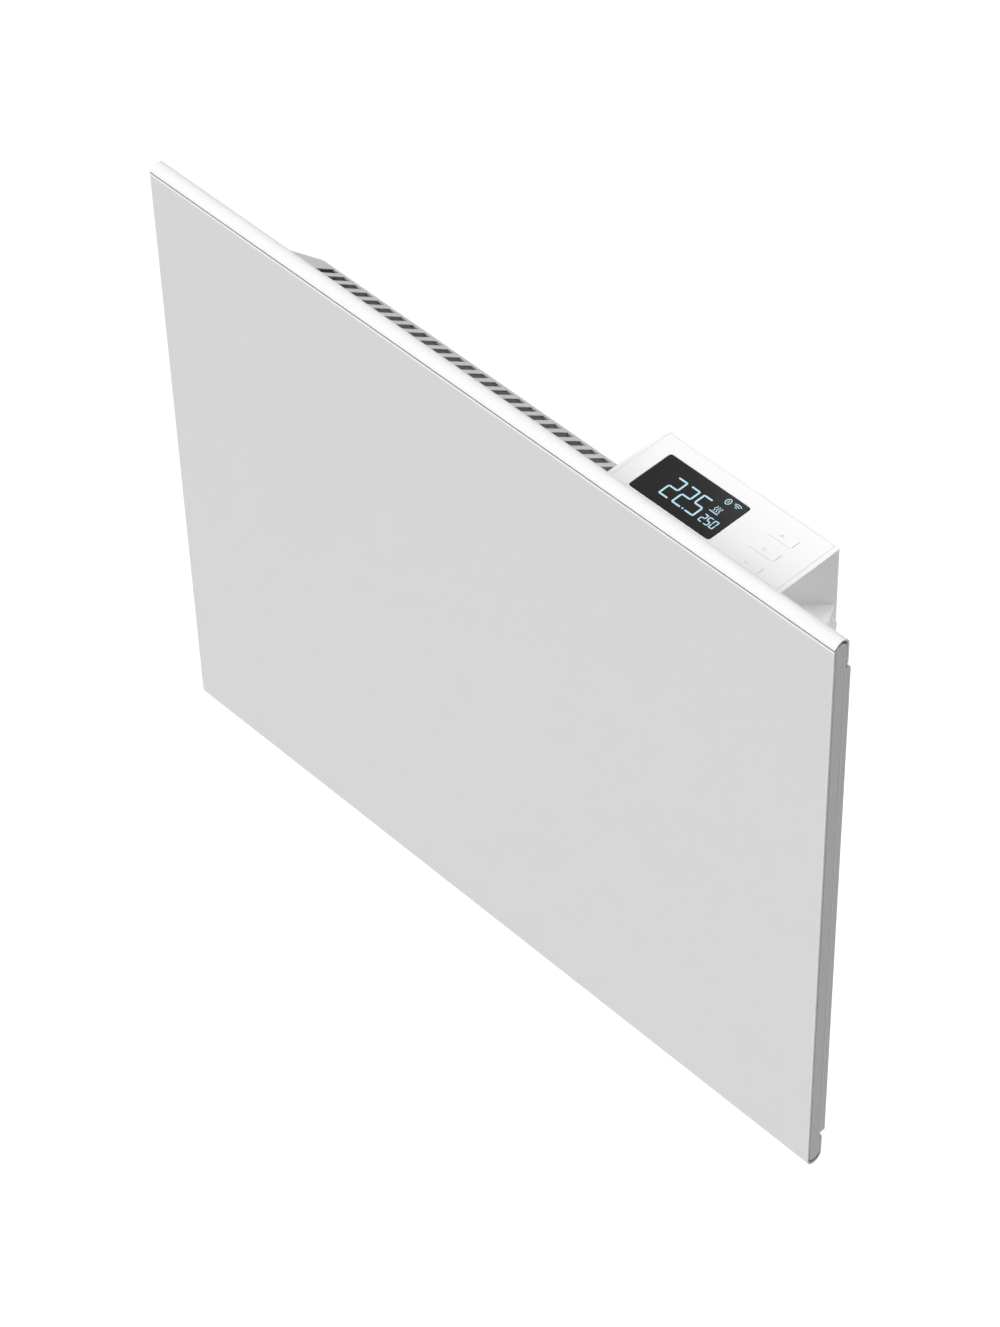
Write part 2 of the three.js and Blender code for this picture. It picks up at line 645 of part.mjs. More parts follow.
// The mains switch stands on the apron's sloping right side; this is its own frame.
const switchFrame = new THREE.Group();
switchFrame.position.set(slopeX(CASING_DEPTH), back(CASING_DEPTH), housingBottom + ROCKER_RISE);
switchFrame.rotation.z = Math.atan(CASING_SLOPE);
switchFrame.updateMatrix();

const placed = (solid, frame) => {
  const geometry = geometryOf(solid).applyMatrix4(frame.matrix);
  return solidOf(geometry);
};

// The apron: the corner of the casing's pyramid, carried on to where it runs out.
function apron(inset, front, rear) {
  const corner = (depth) => [
    [housingLeft + inset, housingBottom + inset],
    [slopeX(depth) - inset * slopeLength, housingBottom + inset],
    [slopeX(depth) - inset * slopeLength, slopeZ(depth) - inset * slopeLength],
    [housingLeft + inset, slopeZ(depth) - inset * slopeLength],
  ];
  return loft(corner(front), front, corner(rear), rear);
}

function housingBox(inset, front) {
  const x0 = housingLeft + inset;
  const x1 = housingRight - inset;
  const rear = back(housingDepth - inset);
  const radius = HOUSING_CORNER - Math.min(inset, HOUSING_CORNER - 1);
  const outline = [
    [x0, back(front)],
    [x1, back(front)],
    ...arc(x1 - radius, rear - radius, radius, 0, 90, 5),
    ...arc(x0 + radius, rear - radius, radius, 90, 180, 5),
  ];
  return alongZ(outline, housingBottom + inset, inset ? housingTop + THROUGH : housingTop);
}

// Rails along both side walls that carry the board.
function boardRails() {
  const rail = (x0, x1) =>
    block(x0, x1, back(boardFront + RAIL_START), back(housingInnerRear) + 1, railTop - RAIL_HEIGHT, railTop);
  return join(
    rail(housingInnerLeft - 1, housingInnerLeft + RAIL_WIDTH),
    rail(housingInnerRight - RAIL_WIDTH, housingInnerRight + 1),
  );
}

// Narrow ledge under the lid, along the side walls and the rear wall.
function lidLedge() {
  const top = coverUnder - GAP;
  const outer = block(
    housingInnerLeft - 1,
    housingInnerRight + 1,
    back(coverFront),
    back(housingInnerRear) + 1,
    top - LEDGE_HEIGHT,
    top,
  );
  const opening = block(
    coverLeft + LEDGE_WIDTH,
    coverRight - LEDGE_WIDTH,
    back(0),
    back(housingInnerRear - LEDGE_WIDTH),
    top - LEDGE_HEIGHT - THROUGH,
    top + THROUGH,
  );
  return cut(outer, opening);
}

function housingBrim() {
  const outline = [
    [brimX, housingBottom],
    ...arc(brimX - BRIM_RADIUS, brimZ - BRIM_RADIUS, BRIM_RADIUS, 0, 90, 6),
    [housingLeft, brimZ],
    [housingLeft, housingBottom],
  ];
  return loft(outline, casingFront, outline, casingFront + HOUSING_WALL);
}

const railTop = pcbUnder - GAP;
const leadHoleX = housingLeft + LEAD_HOLE_INSET;
const leadHoleDepth = CASING_DEPTH - LEAD_HOLE_RUN;

// Everything above a height, for trimming the apron and its hollow.
const above = (z) => block(0, PANEL_WIDTH, back(0) - THROUGH, 0, z, PANEL_HEIGHT);

function controlHousing() {
  const outer = join(
    housingBox(0, casingFront),
    cut(apron(0, casingFront, apronDepth), above(housingTop)),
    housingBrim(),
  );
  const hollow = cut(
    join(
      housingBox(HOUSING_WALL, casingFront - THROUGH),
      apron(HOUSING_WALL, casingFront - THROUGH, apronDepth - HOUSING_WALL),
    ),
    above(coverUnder),
  );
  const lidRoom = block(
    coverLeft - GAP,
    coverRight + GAP,
    back(coverFront) - GAP,
    back(housingInnerRear) + GAP,
    coverUnder - GAP,
    housingTop + THROUGH,
  );
  const leadHole = block(
    leadHoleX - LEAD_HOLE / 2,
    leadHoleX + LEAD_HOLE / 2,
    back(leadHoleDepth) - LEAD_HOLE / 2,
    back(leadHoleDepth) + LEAD_HOLE / 2,
    housingBottom - THROUGH,
    housingFloor + 1,
  );
  const inletHole = bar(
    "z",
    INLET_BARREL + GAP,
    HOUSING_WALL + 2 * THROUGH,
    [inletX, back(inletDepth), housingBottom - THROUGH],
    24,
  );
  const switchHole = placed(
    block(
      -SWITCH_BODY_DEPTH,
      THROUGH,
      -SWITCH_BODY_WIDTH / 2 - GAP,
      SWITCH_BODY_WIDTH / 2 + GAP,
      -SWITCH_BODY_HEIGHT / 2 - GAP,
      SWITCH_BODY_HEIGHT / 2 + GAP,
    ),
    switchFrame,
  );
  const shell = cut(outer, hollow, lidRoom, leadHole, inletHole, switchHole);
  const clampHoles = clampScrewXs.map((x) =>
    bar(
      "z",
      CLAMP_SCREW_RADIUS + GAP,
      THROUGH,
      [x, back(clampDepth), housingFloor - CLAMP_SCREW_BITE - GAP],
      12,
    ),
  );
  const railHoles = boardScrewXs.map((x) => {
    const start = [x, back(boardScrewDepth), railTop - RAIL_HEIGHT - 1];
    return bar("z", SCREW_RADIUS + GAP, RAIL_HEIGHT + 2, start, 12);
  });
  const screwHoles = Object.values(HOUSING_SCREWS).map((place) =>
    screwHole(place, casingFront - THROUGH, casingFront + THROUGH),
  );
  return cut(join(shell, boardRails(), lidLedge()), ...railHoles, ...screwHoles, ...clampHoles);
}

const clampScrewXs = [inletX - CLAMP_SPREAD, inletX + CLAMP_SPREAD];
const boardLeft = housingInnerLeft + GAP;
const boardRight = housingInnerRight - GAP;
const boardScrewXs = [boardLeft + RAIL_WIDTH / 2, boardRight - RAIL_WIDTH / 2];

piece("control_housing", "white_plastic", controlHousing());
for (const [name, place] of Object.entries(HOUSING_SCREWS)) {
  piece(name, "bare_steel", panScrew(place, casingFront + HOUSING_WALL));
}

// ---------------------------------------------------------------- lid, display and buttons

const openingOutline = (cx, cy, width, length, radius, gap) =>
  roundedRectangle(cx, cy, width + 2 * gap, length + 2 * gap, radius + gap, 3);

function topCover() {
  const plate = block(
    coverLeft,
    coverRight,
    back(coverFront),
    back(housingInnerRear),
    coverUnder,
    housingTop,
  );
  const glassSeat = housingTop - GLASS_THICKNESS - GAP;
  const glassRoom = alongZ(
    openingOutline(glassX, back(glassDepth), GLASS_WIDTH, GLASS_LENGTH, GLASS_CORNER, GAP),
    glassSeat,
    housingTop + THROUGH,
  );
  const glassOpening = block(
    glassX - GLASS_WIDTH / 2 + GLASS_LEDGE,
    glassX + GLASS_WIDTH / 2 - GLASS_LEDGE,
    back(glassDepth) - GLASS_LENGTH / 2 + GLASS_LEDGE,
    back(glassDepth) + GLASS_LENGTH / 2 - GLASS_LEDGE,
    coverUnder - THROUGH,
    housingTop + THROUGH,
  );
  const buttonHoles = Object.values(buttonDepths).map((offset) =>
    alongZ(
      openingOutline(
        buttonX,
        back(middleButtonDepth) + offset,
        BUTTON_WIDTH,
        BUTTON_LENGTH,
        BUTTON_RADIUS,
        SLIDE_GAP,
      ),
      coverUnder - THROUGH,
      housingTop + THROUGH,
    ),
  );
  return cut(plate, glassRoom, glassOpening, ...buttonHoles);
}

piece("control_top_cover", "white_plastic", topCover());
piece(
  "display_window",
  "black_glass",
  alongZ(
    openingOutline(glassX, back(glassDepth), GLASS_WIDTH, GLASS_LENGTH, GLASS_CORNER, 0),
    housingTop - GLASS_THICKNESS,
    housingTop,
  ),
);
piece(
  "display_module",
  "dark_plastic",
  block(
    glassX - GLASS_WIDTH / 2 + GLASS_LEDGE + GAP,
    glassX + GLASS_WIDTH / 2 - GLASS_LEDGE - GAP,
    back(glassDepth) - GLASS_LENGTH / 2 + GLASS_LEDGE + GAP,
    back(glassDepth) + GLASS_LENGTH / 2 - GLASS_LEDGE - GAP,
    pcbTop + GAP,
    housingTop - GLASS_THICKNESS - GAP,
  ),
);

for (const [name, offset] of Object.entries(buttonDepths)) {
  const y = back(middleButtonDepth) + offset;
  const cap = alongZ(
    openingOutline(buttonX, y, BUTTON_WIDTH, BUTTON_LENGTH, BUTTON_RADIUS, 0),
    buttonUnder,
    buttonTop,
  );
  const flange = alongZ(
    openingOutline(buttonX, y, BUTTON_WIDTH, BUTTON_LENGTH, BUTTON_RADIUS, BUTTON_FLANGE),
    buttonUnder,
    buttonUnder + BUTTON_FLANGE_THICKNESS,
  );
  piece("button_" + name, "white_plastic", join(cap, flange));

  const plungerTop = buttonUnder - GAP;
  const plungerLow = plungerTop - PLUNGER_LENGTH;
  piece(
    "tact_plunger_" + name,
    "dark_plastic",
    bar("z", PLUNGER_RADIUS, PLUNGER_LENGTH, [buttonX, y, plungerLow], 16),
  );
  const half = TACT_SIZE / 2;
  const tactLow = pcbTop + GAP;
  const tactTop = tactLow + TACT_HEIGHT;
  const body = block(buttonX - half, buttonX + half, y - half, y + half, tactLow, tactTop);
  const well = bar(
    "z",
    PLUNGER_RADIUS + SLIDE_GAP,
    THROUGH + TACT_HEIGHT,
    [buttonX, y, plungerLow - BUTTON_TRAVEL - SLIDE_GAP],
    16,
  );
  piece("tact_switch_" + name, "dark_plastic", cut(body, well));
}

// ---------------------------------------------------------------- board and what stands on it

function board() {
  const plate = block(boardLeft, boardRight, back(boardFront), back(boardRear), pcbUnder, pcbTop);
  const holes = boardScrewXs.map((x) =>
    bar("z", SCREW_RADIUS + GAP, PCB_THICKNESS + 2, [x, back(boardScrewDepth), pcbUnder - 1], 12),
  );
  return cut(plate, ...holes);
}

piece("control_pcb", "board", board());
["left", "right"].forEach((side, i) => {
  const x = boardScrewXs[i];
  const y = back(boardScrewDepth);
  const head = bar("z", BOARD_SCREW_HEAD, SCREW_HEAD_HEIGHT, [x, y, pcbTop + GAP], 16);
  const shank = bar("z", SCREW_RADIUS, BOARD_SCREW_LENGTH, [x, y, pcbTop + 1 - BOARD_SCREW_LENGTH], 12);
  piece("pcb_screw_" + side, "bare_steel", join(head, shank));
});

// A part of the board, placed from its left and front edge: positive height stands up, negative hangs.
const onBoard = (name, finish, { x, depth, width, length, height }) => {
  const seat = height > 0 ? pcbTop + GAP : pcbUnder - GAP;
  const [low, high] = height > 0 ? [seat, seat + height] : [seat + height, seat];
  const x0 = boardLeft + x;
  const y0 = back(boardFront + depth);
  piece(name, finish, block(x0, x0 + width, y0, y0 + length, low, high));
};

onBoard("power_relay", "dark_plastic", RELAY);
onBoard("supply_transformer", "dark_plastic", TRANSFORMER);
onBoard("wireless_module", "bare_steel", WIRELESS);
const capacitorFoot = [
  boardLeft + CAPACITOR_PLACE[0],
  back(boardFront + CAPACITOR_PLACE[1]),
  pcbUnder - GAP - CAPACITOR_HEIGHT,
];
piece(
  "supply_capacitor",
  "dark_plastic",
  bar("z", CAPACITOR_RADIUS, CAPACITOR_HEIGHT, capacitorFoot, 20),
);

// ---------------------------------------------------------------- mains switch

function switchBody() {
  const bezel = block(
    GAP,
    GAP + SWITCH_BEZEL,
    -SWITCH_WIDTH / 2,
    SWITCH_WIDTH / 2,
    -SWITCH_HEIGHT / 2,
    SWITCH_HEIGHT / 2,
  );
  const body = block(
    -SWITCH_BODY_DEPTH,
    GAP + 1,
    -SWITCH_BODY_WIDTH / 2,
    SWITCH_BODY_WIDTH / 2,
    -SWITCH_BODY_HEIGHT / 2,
    SWITCH_BODY_HEIGHT / 2,
  );
  const pocket = block(
    -POCKET_DEPTH,
    THROUGH,
    -ROCKER_WIDTH / 2 - SLIDE_GAP,
    ROCKER_WIDTH / 2 + SLIDE_GAP,
    -ROCKER_RADIUS - SLIDE_GAP,
    ROCKER_RADIUS + SLIDE_GAP,
  );
  return cut(join(bezel, body), pocket);
}

// Round-ended rocker with a shallow V on its face, its axis at the origin.
function rocker() {
  const upper = arc(0, 0, ROCKER_RADIUS, 90 - ROCKER_END_ANGLE, 90 + ROCKER_FOOT_ANGLE, 8);
  const lower = arc(0, 0, ROCKER_RADIUS, 270 - ROCKER_FOOT_ANGLE, 270 + ROCKER_END_ANGLE, 8);
  const outline = [[ROCKER_CREST, 0], ...upper, ...lower];
  return alongY(outline, -ROCKER_WIDTH / 2, ROCKER_WIDTH / 2);
}

piece("switch_body", "white_plastic", switchBody(), switchFrame);
const rockerMesh = piece("switch_rocker", "white_plastic", rocker(), switchFrame);
rockerMesh.position.set(ROCKER_AXIS_HEIGHT, 0, 0);
rockerMesh.rotation.y = THREE.MathUtils.degToRad(ROCKER_TILT);
heater.add(switchFrame);

// ---------------------------------------------------------------- mains connection

function terminalBlock() {
  const z0 = housingFloor + GAP;
  const body = block(
    inletX - TERMINAL_WIDTH / 2,
    inletX + TERMINAL_WIDTH / 2,
    back(terminalDepth) - TERMINAL_LENGTH / 2,
    back(terminalDepth) + TERMINAL_LENGTH / 2,
    z0,
    z0 + TERMINAL_HEIGHT,
  );
  const wells = [-1, 0, 1].flatMap((i) => {
    const x = inletX + (i * TERMINAL_WIDTH) / 3;
    const way = [x, back(terminalDepth) - TERMINAL_LENGTH, z0 + TERMINAL_HEIGHT / 2];
    const screw = [x, back(terminalDepth), z0 + TERMINAL_HEIGHT / 2];
    return [
      bar("y", TERMINAL_BORE, 2 * TERMINAL_LENGTH, way, 12),
      bar("z", TERMINAL_BORE, TERMINAL_HEIGHT, screw, 12),
    ];
  });
  return cut(body, ...wells);
}

piece("terminal_block", "dark_plastic", terminalBlock());

const inletTop = housingBottom - GAP;
piece(
  "cable_inlet_bush",
  "white_plastic",
  turned(
    "z",
    [
      [INLET_BORE, -INLET_FLANGE_THICKNESS],
      [INLET_FLANGE, -INLET_FLANGE_THICKNESS],
      [INLET_FLANGE, 0],
      [INLET_BARREL, 0],
      [INLET_BARREL, INLET_LENGTH],
      [INLET_BORE, INLET_LENGTH],
    ],
    [inletX, back(inletDepth), inletTop],
    24,
  ),
);

// Saddle that holds the mains cable on the housing's floor.
function cableClamp() {
  const z0 = housingFloor + GAP;
  const saddle = block(
    inletX - CLAMP_LENGTH / 2,
    inletX + CLAMP_LENGTH / 2,
    back(clampDepth) - CLAMP_WIDTH / 2,
    back(clampDepth) + CLAMP_WIDTH / 2,
    z0,
    z0 + CLAMP_HEIGHT,
  );
  const groove = bar("y", INLET_BORE, 2 * CLAMP_WIDTH, [inletX, back(clampDepth) - CLAMP_WIDTH, z0], 16);
  const holes = clampScrewXs.map((x) =>
    bar("z", CLAMP_SCREW_RADIUS + GAP, CLAMP_HEIGHT + 2, [x, back(clampDepth), z0 - 1], 12),
  );
  return cut(saddle, groove, ...holes);
}

piece("cable_clamp", "dark_plastic", cableClamp());
["left", "right"].forEach((side, i) => {
  const seat = housingFloor + 2 * GAP + CLAMP_HEIGHT;
  const place = (z) => [clampScrewXs[i], back(clampDepth), z];
  const shankLength = seat - housingFloor + CLAMP_SCREW_BITE;
  piece(
    "clamp_screw_" + side,
    "bare_steel",
    join(
      bar("z", 2 * CLAMP_SCREW_RADIUS, SCREW_HEAD_HEIGHT, place(seat), 16),
      bar("z", CLAMP_SCREW_RADIUS, shankLength + 1, place(seat - shankLength), 12),
    ),
  );
});

// ---------------------------------------------------------------- heating element

// Star of straight fins around a hub, in Y and Z.
function finOutline() {
  const root = THREE.MathUtils.radToDeg(Math.asin(FIN_THICKNESS / 2 / FIN_HUB_RADIUS));
  return Array.from({ length: FIN_COUNT }, (_, i) => i).flatMap((i) => {
    const angle = (360 * i) / FIN_COUNT;
    const length = i % 2 === 0 ? FIN_LONG : FIN_SHORT;
    const tip = THREE.MathUtils.radToDeg(Math.asin(FIN_THICKNESS / 2 / length));
    return [
      polar(back(elementDepth), elementZ, FIN_HUB_RADIUS, angle - root),
      polar(back(elementDepth), elementZ, length, angle - tip),
      polar(back(elementDepth), elementZ, length, angle + tip),
      polar(back(elementDepth), elementZ, FIN_HUB_RADIUS, angle + root),
    ];
  });
}

const elementPlace = (x) => [x, back(elementDepth), elementZ];

piece(
  "heating_fins",
  "aluminium",
  cut(
    alongX(finOutline(), -finBarX, finBarX),
    bar("x", ROD_RADIUS + GAP, 2 * finBarX + 2, elementPlace(-finBarX - 1), 20),
  ),
);
piece(
  "heating_rod",
  "bare_steel",
  join(
    bar("x", ROD_RADIUS, 2 * rodX, elementPlace(-rodX), 20),
    bar("x", PIN_RADIUS, 2 * rodX + 2 * PIN_LENGTH, elementPlace(-rodX - PIN_LENGTH), 12),
  ),
);

const bushFlange = BUSH_LENGTH / 3;
const bracketX = bushX + bushFlange + GAP;

function elementBracket(side) {
  const sheet = SHEET;
  const rear = casingInnerRear - GAP;
  const low = elementZ - ELEMENT_BRACKET_HEIGHT / 2;
  const high = elementZ + ELEMENT_BRACKET_HEIGHT / 2;
  const across = (x0, x1) => [Math.min(side * x0, side * x1), Math.max(side * x0, side * x1)];
  const [plate0, plate1] = across(bracketX, bracketX + sheet);
  const [foot0, foot1] = across(bracketX, bracketX + ELEMENT_BRACKET_FOOT);
  const front = elementDepth - ELEMENT_BRACKET_WIDTH / 2;
  const plate = block(plate0, plate1, back(front), back(rear), low, high);
  const foot = block(foot0, foot1, back(rear - sheet), back(rear), low, high);
  const hole = bar("x", BUSH_NECK_RADIUS + GAP, 3 * sheet, elementPlace(plate0 - sheet), 20);
  return cut(join(plate, foot), hole);
}

for (const [name, side] of [
  ["left", -1],
  ["right", 1],
]) {
  const bush = turned(
    "x",
    [
      [ROD_RADIUS + GAP, 0],
      [BUSH_RADIUS, 0],
      [BUSH_RADIUS, bushFlange],
      [BUSH_NECK_RADIUS, bushFlange],
      [BUSH_NECK_RADIUS, BUSH_LENGTH],
      [ROD_RADIUS + GAP, BUSH_LENGTH],
    ],
    [0, 0, 0],
    20,
  );
  const mesh = piece("element_bush_" + name, "ceramic", bush);
  mesh.position.set(...elementPlace(side * bushX));
  mesh.rotation.z = side < 0 ? Math.PI : 0;
  piece("element_bracket_" + name, "bare_steel", elementBracket(side));
}

// ---------------------------------------------------------------- limiter and sensor

const shelfRear = casingInnerRear - GAP;
const shelfTop = elementZ + LIMITER_RISE - LIMITER_HEIGHT / 2 - GAP;
const limiterDepth = shelfRear - LIMITER_SHELF / 2;

function limiterBracket() {
  const half = LIMITER_RADIUS + SHELF_MARGIN;
  const x0 = LIMITER_X - half;
  const x1 = LIMITER_X + half;
  const foot = block(x0, x1, back(shelfRear - SHEET), back(shelfRear), shelfTop - SHELF_FOOT, shelfTop);
  const shelf = block(x0, x1, back(shelfRear - LIMITER_SHELF), back(shelfRear), shelfTop - SHEET, shelfTop);
  return join(foot, shelf);
}

function thermalLimiter() {
  const low = shelfTop + GAP;
  const body = bar("z", LIMITER_RADIUS, LIMITER_HEIGHT, [LIMITER_X, back(limiterDepth), low], 24);
  const tab = (x) =>
    block(
      x - TAB_THICKNESS / 2,
      x + TAB_THICKNESS / 2,
      back(limiterDepth) - TAB_WIDTH / 2,
      back(limiterDepth) + TAB_WIDTH / 2,
      low + LIMITER_HEIGHT - 1,
      low + LIMITER_HEIGHT + TAB_LENGTH,
    );
  return join(body, tab(LIMITER_X - TAB_SPREAD), tab(LIMITER_X + TAB_SPREAD));
}

piece("limiter_bracket", "bare_steel", limiterBracket());
piece("thermal_limiter", "dark_plastic", thermalLimiter());

const clipRear = casingInnerRear - GAP;
const sensorDepth = clipRear - SENSOR_CLIP / 2;
const clipHalf = (SENSOR_LENGTH - 2) / 2;
const sensorX = casingRearX - SENSOR_INSET;
const sensorZ = SENSOR_RISE - casingRearZ;

piece(
  "sensor_clip",
  "white_plastic",
  cut(
    block(
      sensorX - SENSOR_CLIP / 2,
      sensorX + SENSOR_CLIP / 2,
      back(clipRear - SENSOR_CLIP),
      back(clipRear),
      sensorZ - clipHalf,
      sensorZ + clipHalf,
    ),
    bar(
      "z",
      SENSOR_RADIUS + GAP,
      2 * SENSOR_LENGTH,
      [sensorX, back(sensorDepth), sensorZ - SENSOR_LENGTH],
      16,
    ),
  ),
);
piece(
  "room_sensor",
  "dark_plastic",
  bar("z", SENSOR_RADIUS, SENSOR_LENGTH, [sensorX, back(sensorDepth), sensorZ - SENSOR_LENGTH / 2], 16),
);

// ---------------------------------------------------------------- leads

const leadTop = housingFloor + LEAD_STUB;
const pinX = rodX + PIN_LENGTH / 2;
const pinTop = elementZ + PIN_RADIUS + GAP;
const tabTop = shelfTop + 2 * GAP + LIMITER_HEIGHT + TAB_LENGTH;
const sensorTop = sensorZ + SENSOR_LENGTH / 2 + GAP;
const leadX = (offset) => leadHoleX + offset;

piece(
  "lead_live",
  "wire_sleeve",
  wire([
    [leadX(-4), leadHoleDepth - 2, leadTop],
    [leadX(-4), leadHoleDepth - 2, housingBottom - 6],
    [leadX(10), leadHoleDepth - 2, housingBottom - 55],
    [pinX, elementDepth + 2, elementZ + 50],
    [pinX, elementDepth, elementZ + 20],
    [pinX, elementDepth, pinTop],
  ]),
);
piece(
  "lead_limiter",
  "wire_sleeve",
  wire([
    [LIMITER_X + TAB_SPREAD, limiterDepth, tabTop],
    [LIMITER_X + TAB_SPREAD, limiterDepth, tabTop + 14],
    [LIMITER_X + 20, limiterDepth, housingBottom - 65],
    [leadX(-20), leadHoleDepth + 3, housingBottom - 25],
    [leadX(-5), leadHoleDepth + 3, housingBottom - 6],
    [leadX(-5), leadHoleDepth + 3, leadTop],
  ]),
);
piece(
  "lead_neutral",
  "wire_sleeve",
  wire([
    [LIMITER_X - TAB_SPREAD, limiterDepth, tabTop],
    [LIMITER_X - TAB_SPREAD - 3, limiterDepth, tabTop + 10],
    [LIMITER_X - 30, limiterDepth, tabTop + 14],
    [-LIMITER_X - 30, limiterDepth, tabTop + 4],
    [10 - pinX, elementDepth + 6, elementZ + 40],
    [-pinX, elementDepth, elementZ + 20],
    [-pinX, elementDepth, pinTop],
  ]),
);
piece(
  "lead_sensor",
  "wire_sleeve",
  wire([
    [sensorX, sensorDepth, sensorTop],
    [sensorX, sensorDepth, sensorTop + 10],
    [sensorX, sensorDepth - 4, elementZ + 10],
    [sensorX - 1, sensorDepth - 6, elementZ + 70],
    [leadX(5), leadHoleDepth + 3, housingBottom - 35],
    [leadX(4), leadHoleDepth + 2, housingBottom - 6],
    [leadX(4), leadHoleDepth + 2, leadTop],
  ]),
);

// ---------------------------------------------------------------- wall bracket and spacers

function wallBracket() {
  const front = back(CASING_DEPTH) + GAP;
  const uprights = uprightXs.flatMap((x) => {
    const x0 = x - BRACKET_UPRIGHT / 2;
    const x1 = x + BRACKET_UPRIGHT / 2;
    return [
      block(x0, x1, -BRACKET_SHEET, 0, bracketBottom, bracketTop),
      block(x0, x0 + BRACKET_SHEET, front, 0, bracketBottom, bracketTop),
      block(x1 - BRACKET_SHEET, x1, front, 0, bracketBottom, bracketTop),
    ];
  });
  const half = BRACKET_SPACING / 2;
  const crossbar = block(-half, half, -BRACKET_SHEET, 0, -CROSSBAR_HEIGHT / 2, CROSSBAR_HEIGHT / 2);
  const hooks = hookTops.flatMap((top) =>
    hookXs.flatMap((x) => {
      const x0 = x - BRACKET_SHEET / 2;
      const x1 = x + BRACKET_SHEET / 2;
      const inner = back(casingInnerRear - GAP);
      const tip = inner - HOOK_THICKNESS;
      return [
        block(x0, x1, tip, front + 1, top - HOOK_TONGUE, top),
        block(x0, x1, tip, inner, top - HOOK_TONGUE, top + HOOK_FINGER),
      ];
    }),
  );
  const slots = uprightXs.flatMap((x) =>
    screwSlotZs.map((z) =>
      alongY(
        roundedRectangle(x, z, SCREW_SLOT_WIDTH, SCREW_SLOT_LENGTH, SCREW_SLOT_WIDTH / 2.001, 6),
        -BRACKET_SHEET - 1,
        1,
      ),
    ),
  );
  return cut(join(...uprights, crossbar, ...hooks), ...slots);
}

piece("wall_bracket", "white_paint", wallBracket());
for (const [name, side] of [
  ["left", -1],
  ["right", 1],
]) {
  const start = back(CASING_DEPTH) + GAP;
  const seat = [side * (casingRearX - SPACER_INSET), start, SPACER_RISE - casingRearZ];
  piece("wall_spacer_" + name, "grey_rubber", bar("y", SPACER_RADIUS, -GAP - start, seat, 24));
}

export default heater;
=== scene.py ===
# %% [markdown]
# # A wall panel convector heater
# The heater is a folded sheet-steel panel with a slotted steel casing behind it, a moulded control
# housing at its top right and a bracket that carries it on the wall. The solid model of every part
# is loaded first. It fixes the size and place of each part, so nothing is moved later: the pieces
# made here stand in the same places and only add the fine shapes and the finishes.

# %% The fixed frame
import json
import math

import bmesh
import bpy
from mathutils import Matrix, Vector


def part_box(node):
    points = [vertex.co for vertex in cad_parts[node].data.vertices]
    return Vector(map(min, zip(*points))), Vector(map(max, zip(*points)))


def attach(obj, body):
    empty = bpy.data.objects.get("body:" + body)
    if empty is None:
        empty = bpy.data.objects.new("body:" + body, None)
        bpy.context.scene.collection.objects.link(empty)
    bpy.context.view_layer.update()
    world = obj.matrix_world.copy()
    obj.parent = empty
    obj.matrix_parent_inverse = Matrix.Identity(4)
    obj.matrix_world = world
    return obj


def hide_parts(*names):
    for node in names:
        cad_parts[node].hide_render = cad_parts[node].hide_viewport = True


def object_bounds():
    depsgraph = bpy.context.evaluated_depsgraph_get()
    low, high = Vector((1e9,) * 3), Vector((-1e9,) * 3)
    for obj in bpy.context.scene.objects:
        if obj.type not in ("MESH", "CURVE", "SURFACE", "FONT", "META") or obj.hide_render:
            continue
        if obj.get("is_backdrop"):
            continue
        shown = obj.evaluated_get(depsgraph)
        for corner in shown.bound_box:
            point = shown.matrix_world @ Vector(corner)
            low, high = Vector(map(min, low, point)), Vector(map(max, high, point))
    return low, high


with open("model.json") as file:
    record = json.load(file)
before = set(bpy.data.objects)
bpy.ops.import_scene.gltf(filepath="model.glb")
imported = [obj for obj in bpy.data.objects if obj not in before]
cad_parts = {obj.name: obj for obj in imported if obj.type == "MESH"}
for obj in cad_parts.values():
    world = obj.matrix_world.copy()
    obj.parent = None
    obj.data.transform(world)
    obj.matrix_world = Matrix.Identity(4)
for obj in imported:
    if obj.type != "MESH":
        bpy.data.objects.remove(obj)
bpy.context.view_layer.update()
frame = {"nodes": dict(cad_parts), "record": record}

MM = 0.001

# %% [markdown]
# ## Sizes
# Blender works in metres and the drawing of a heater is in millimetres, so sizes are written in
# millimetres and multiplied by MM. The front face of the panel is the natural place to measure
# depth from, and `back` turns such a depth into the Y of the scene, as the wall is at Y = 0.

# %% Sizes taken from the loaded parts
panel_low, panel_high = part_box("front_panel")
FACE_Y = panel_low.y
HALF_WIDTH = panel_high.x
HALF_HEIGHT = panel_high.z


def back(depth):
    """Y of a place that lies depth millimetres behind the front face."""
    return FACE_Y + depth * MM


print("front face at Y =", round(FACE_Y, 4), "half width and height:", HALF_WIDTH, HALF_HEIGHT)

# %% [markdown]
# ## The camera
# The heater is seen from high up on the right, through a long lens, so its upright edges stay
# almost parallel. The three directions below are the camera's own right, up and forward. Written as
# the columns of a matrix they turn the camera in one step, which is easier to keep exact than
# three angles.

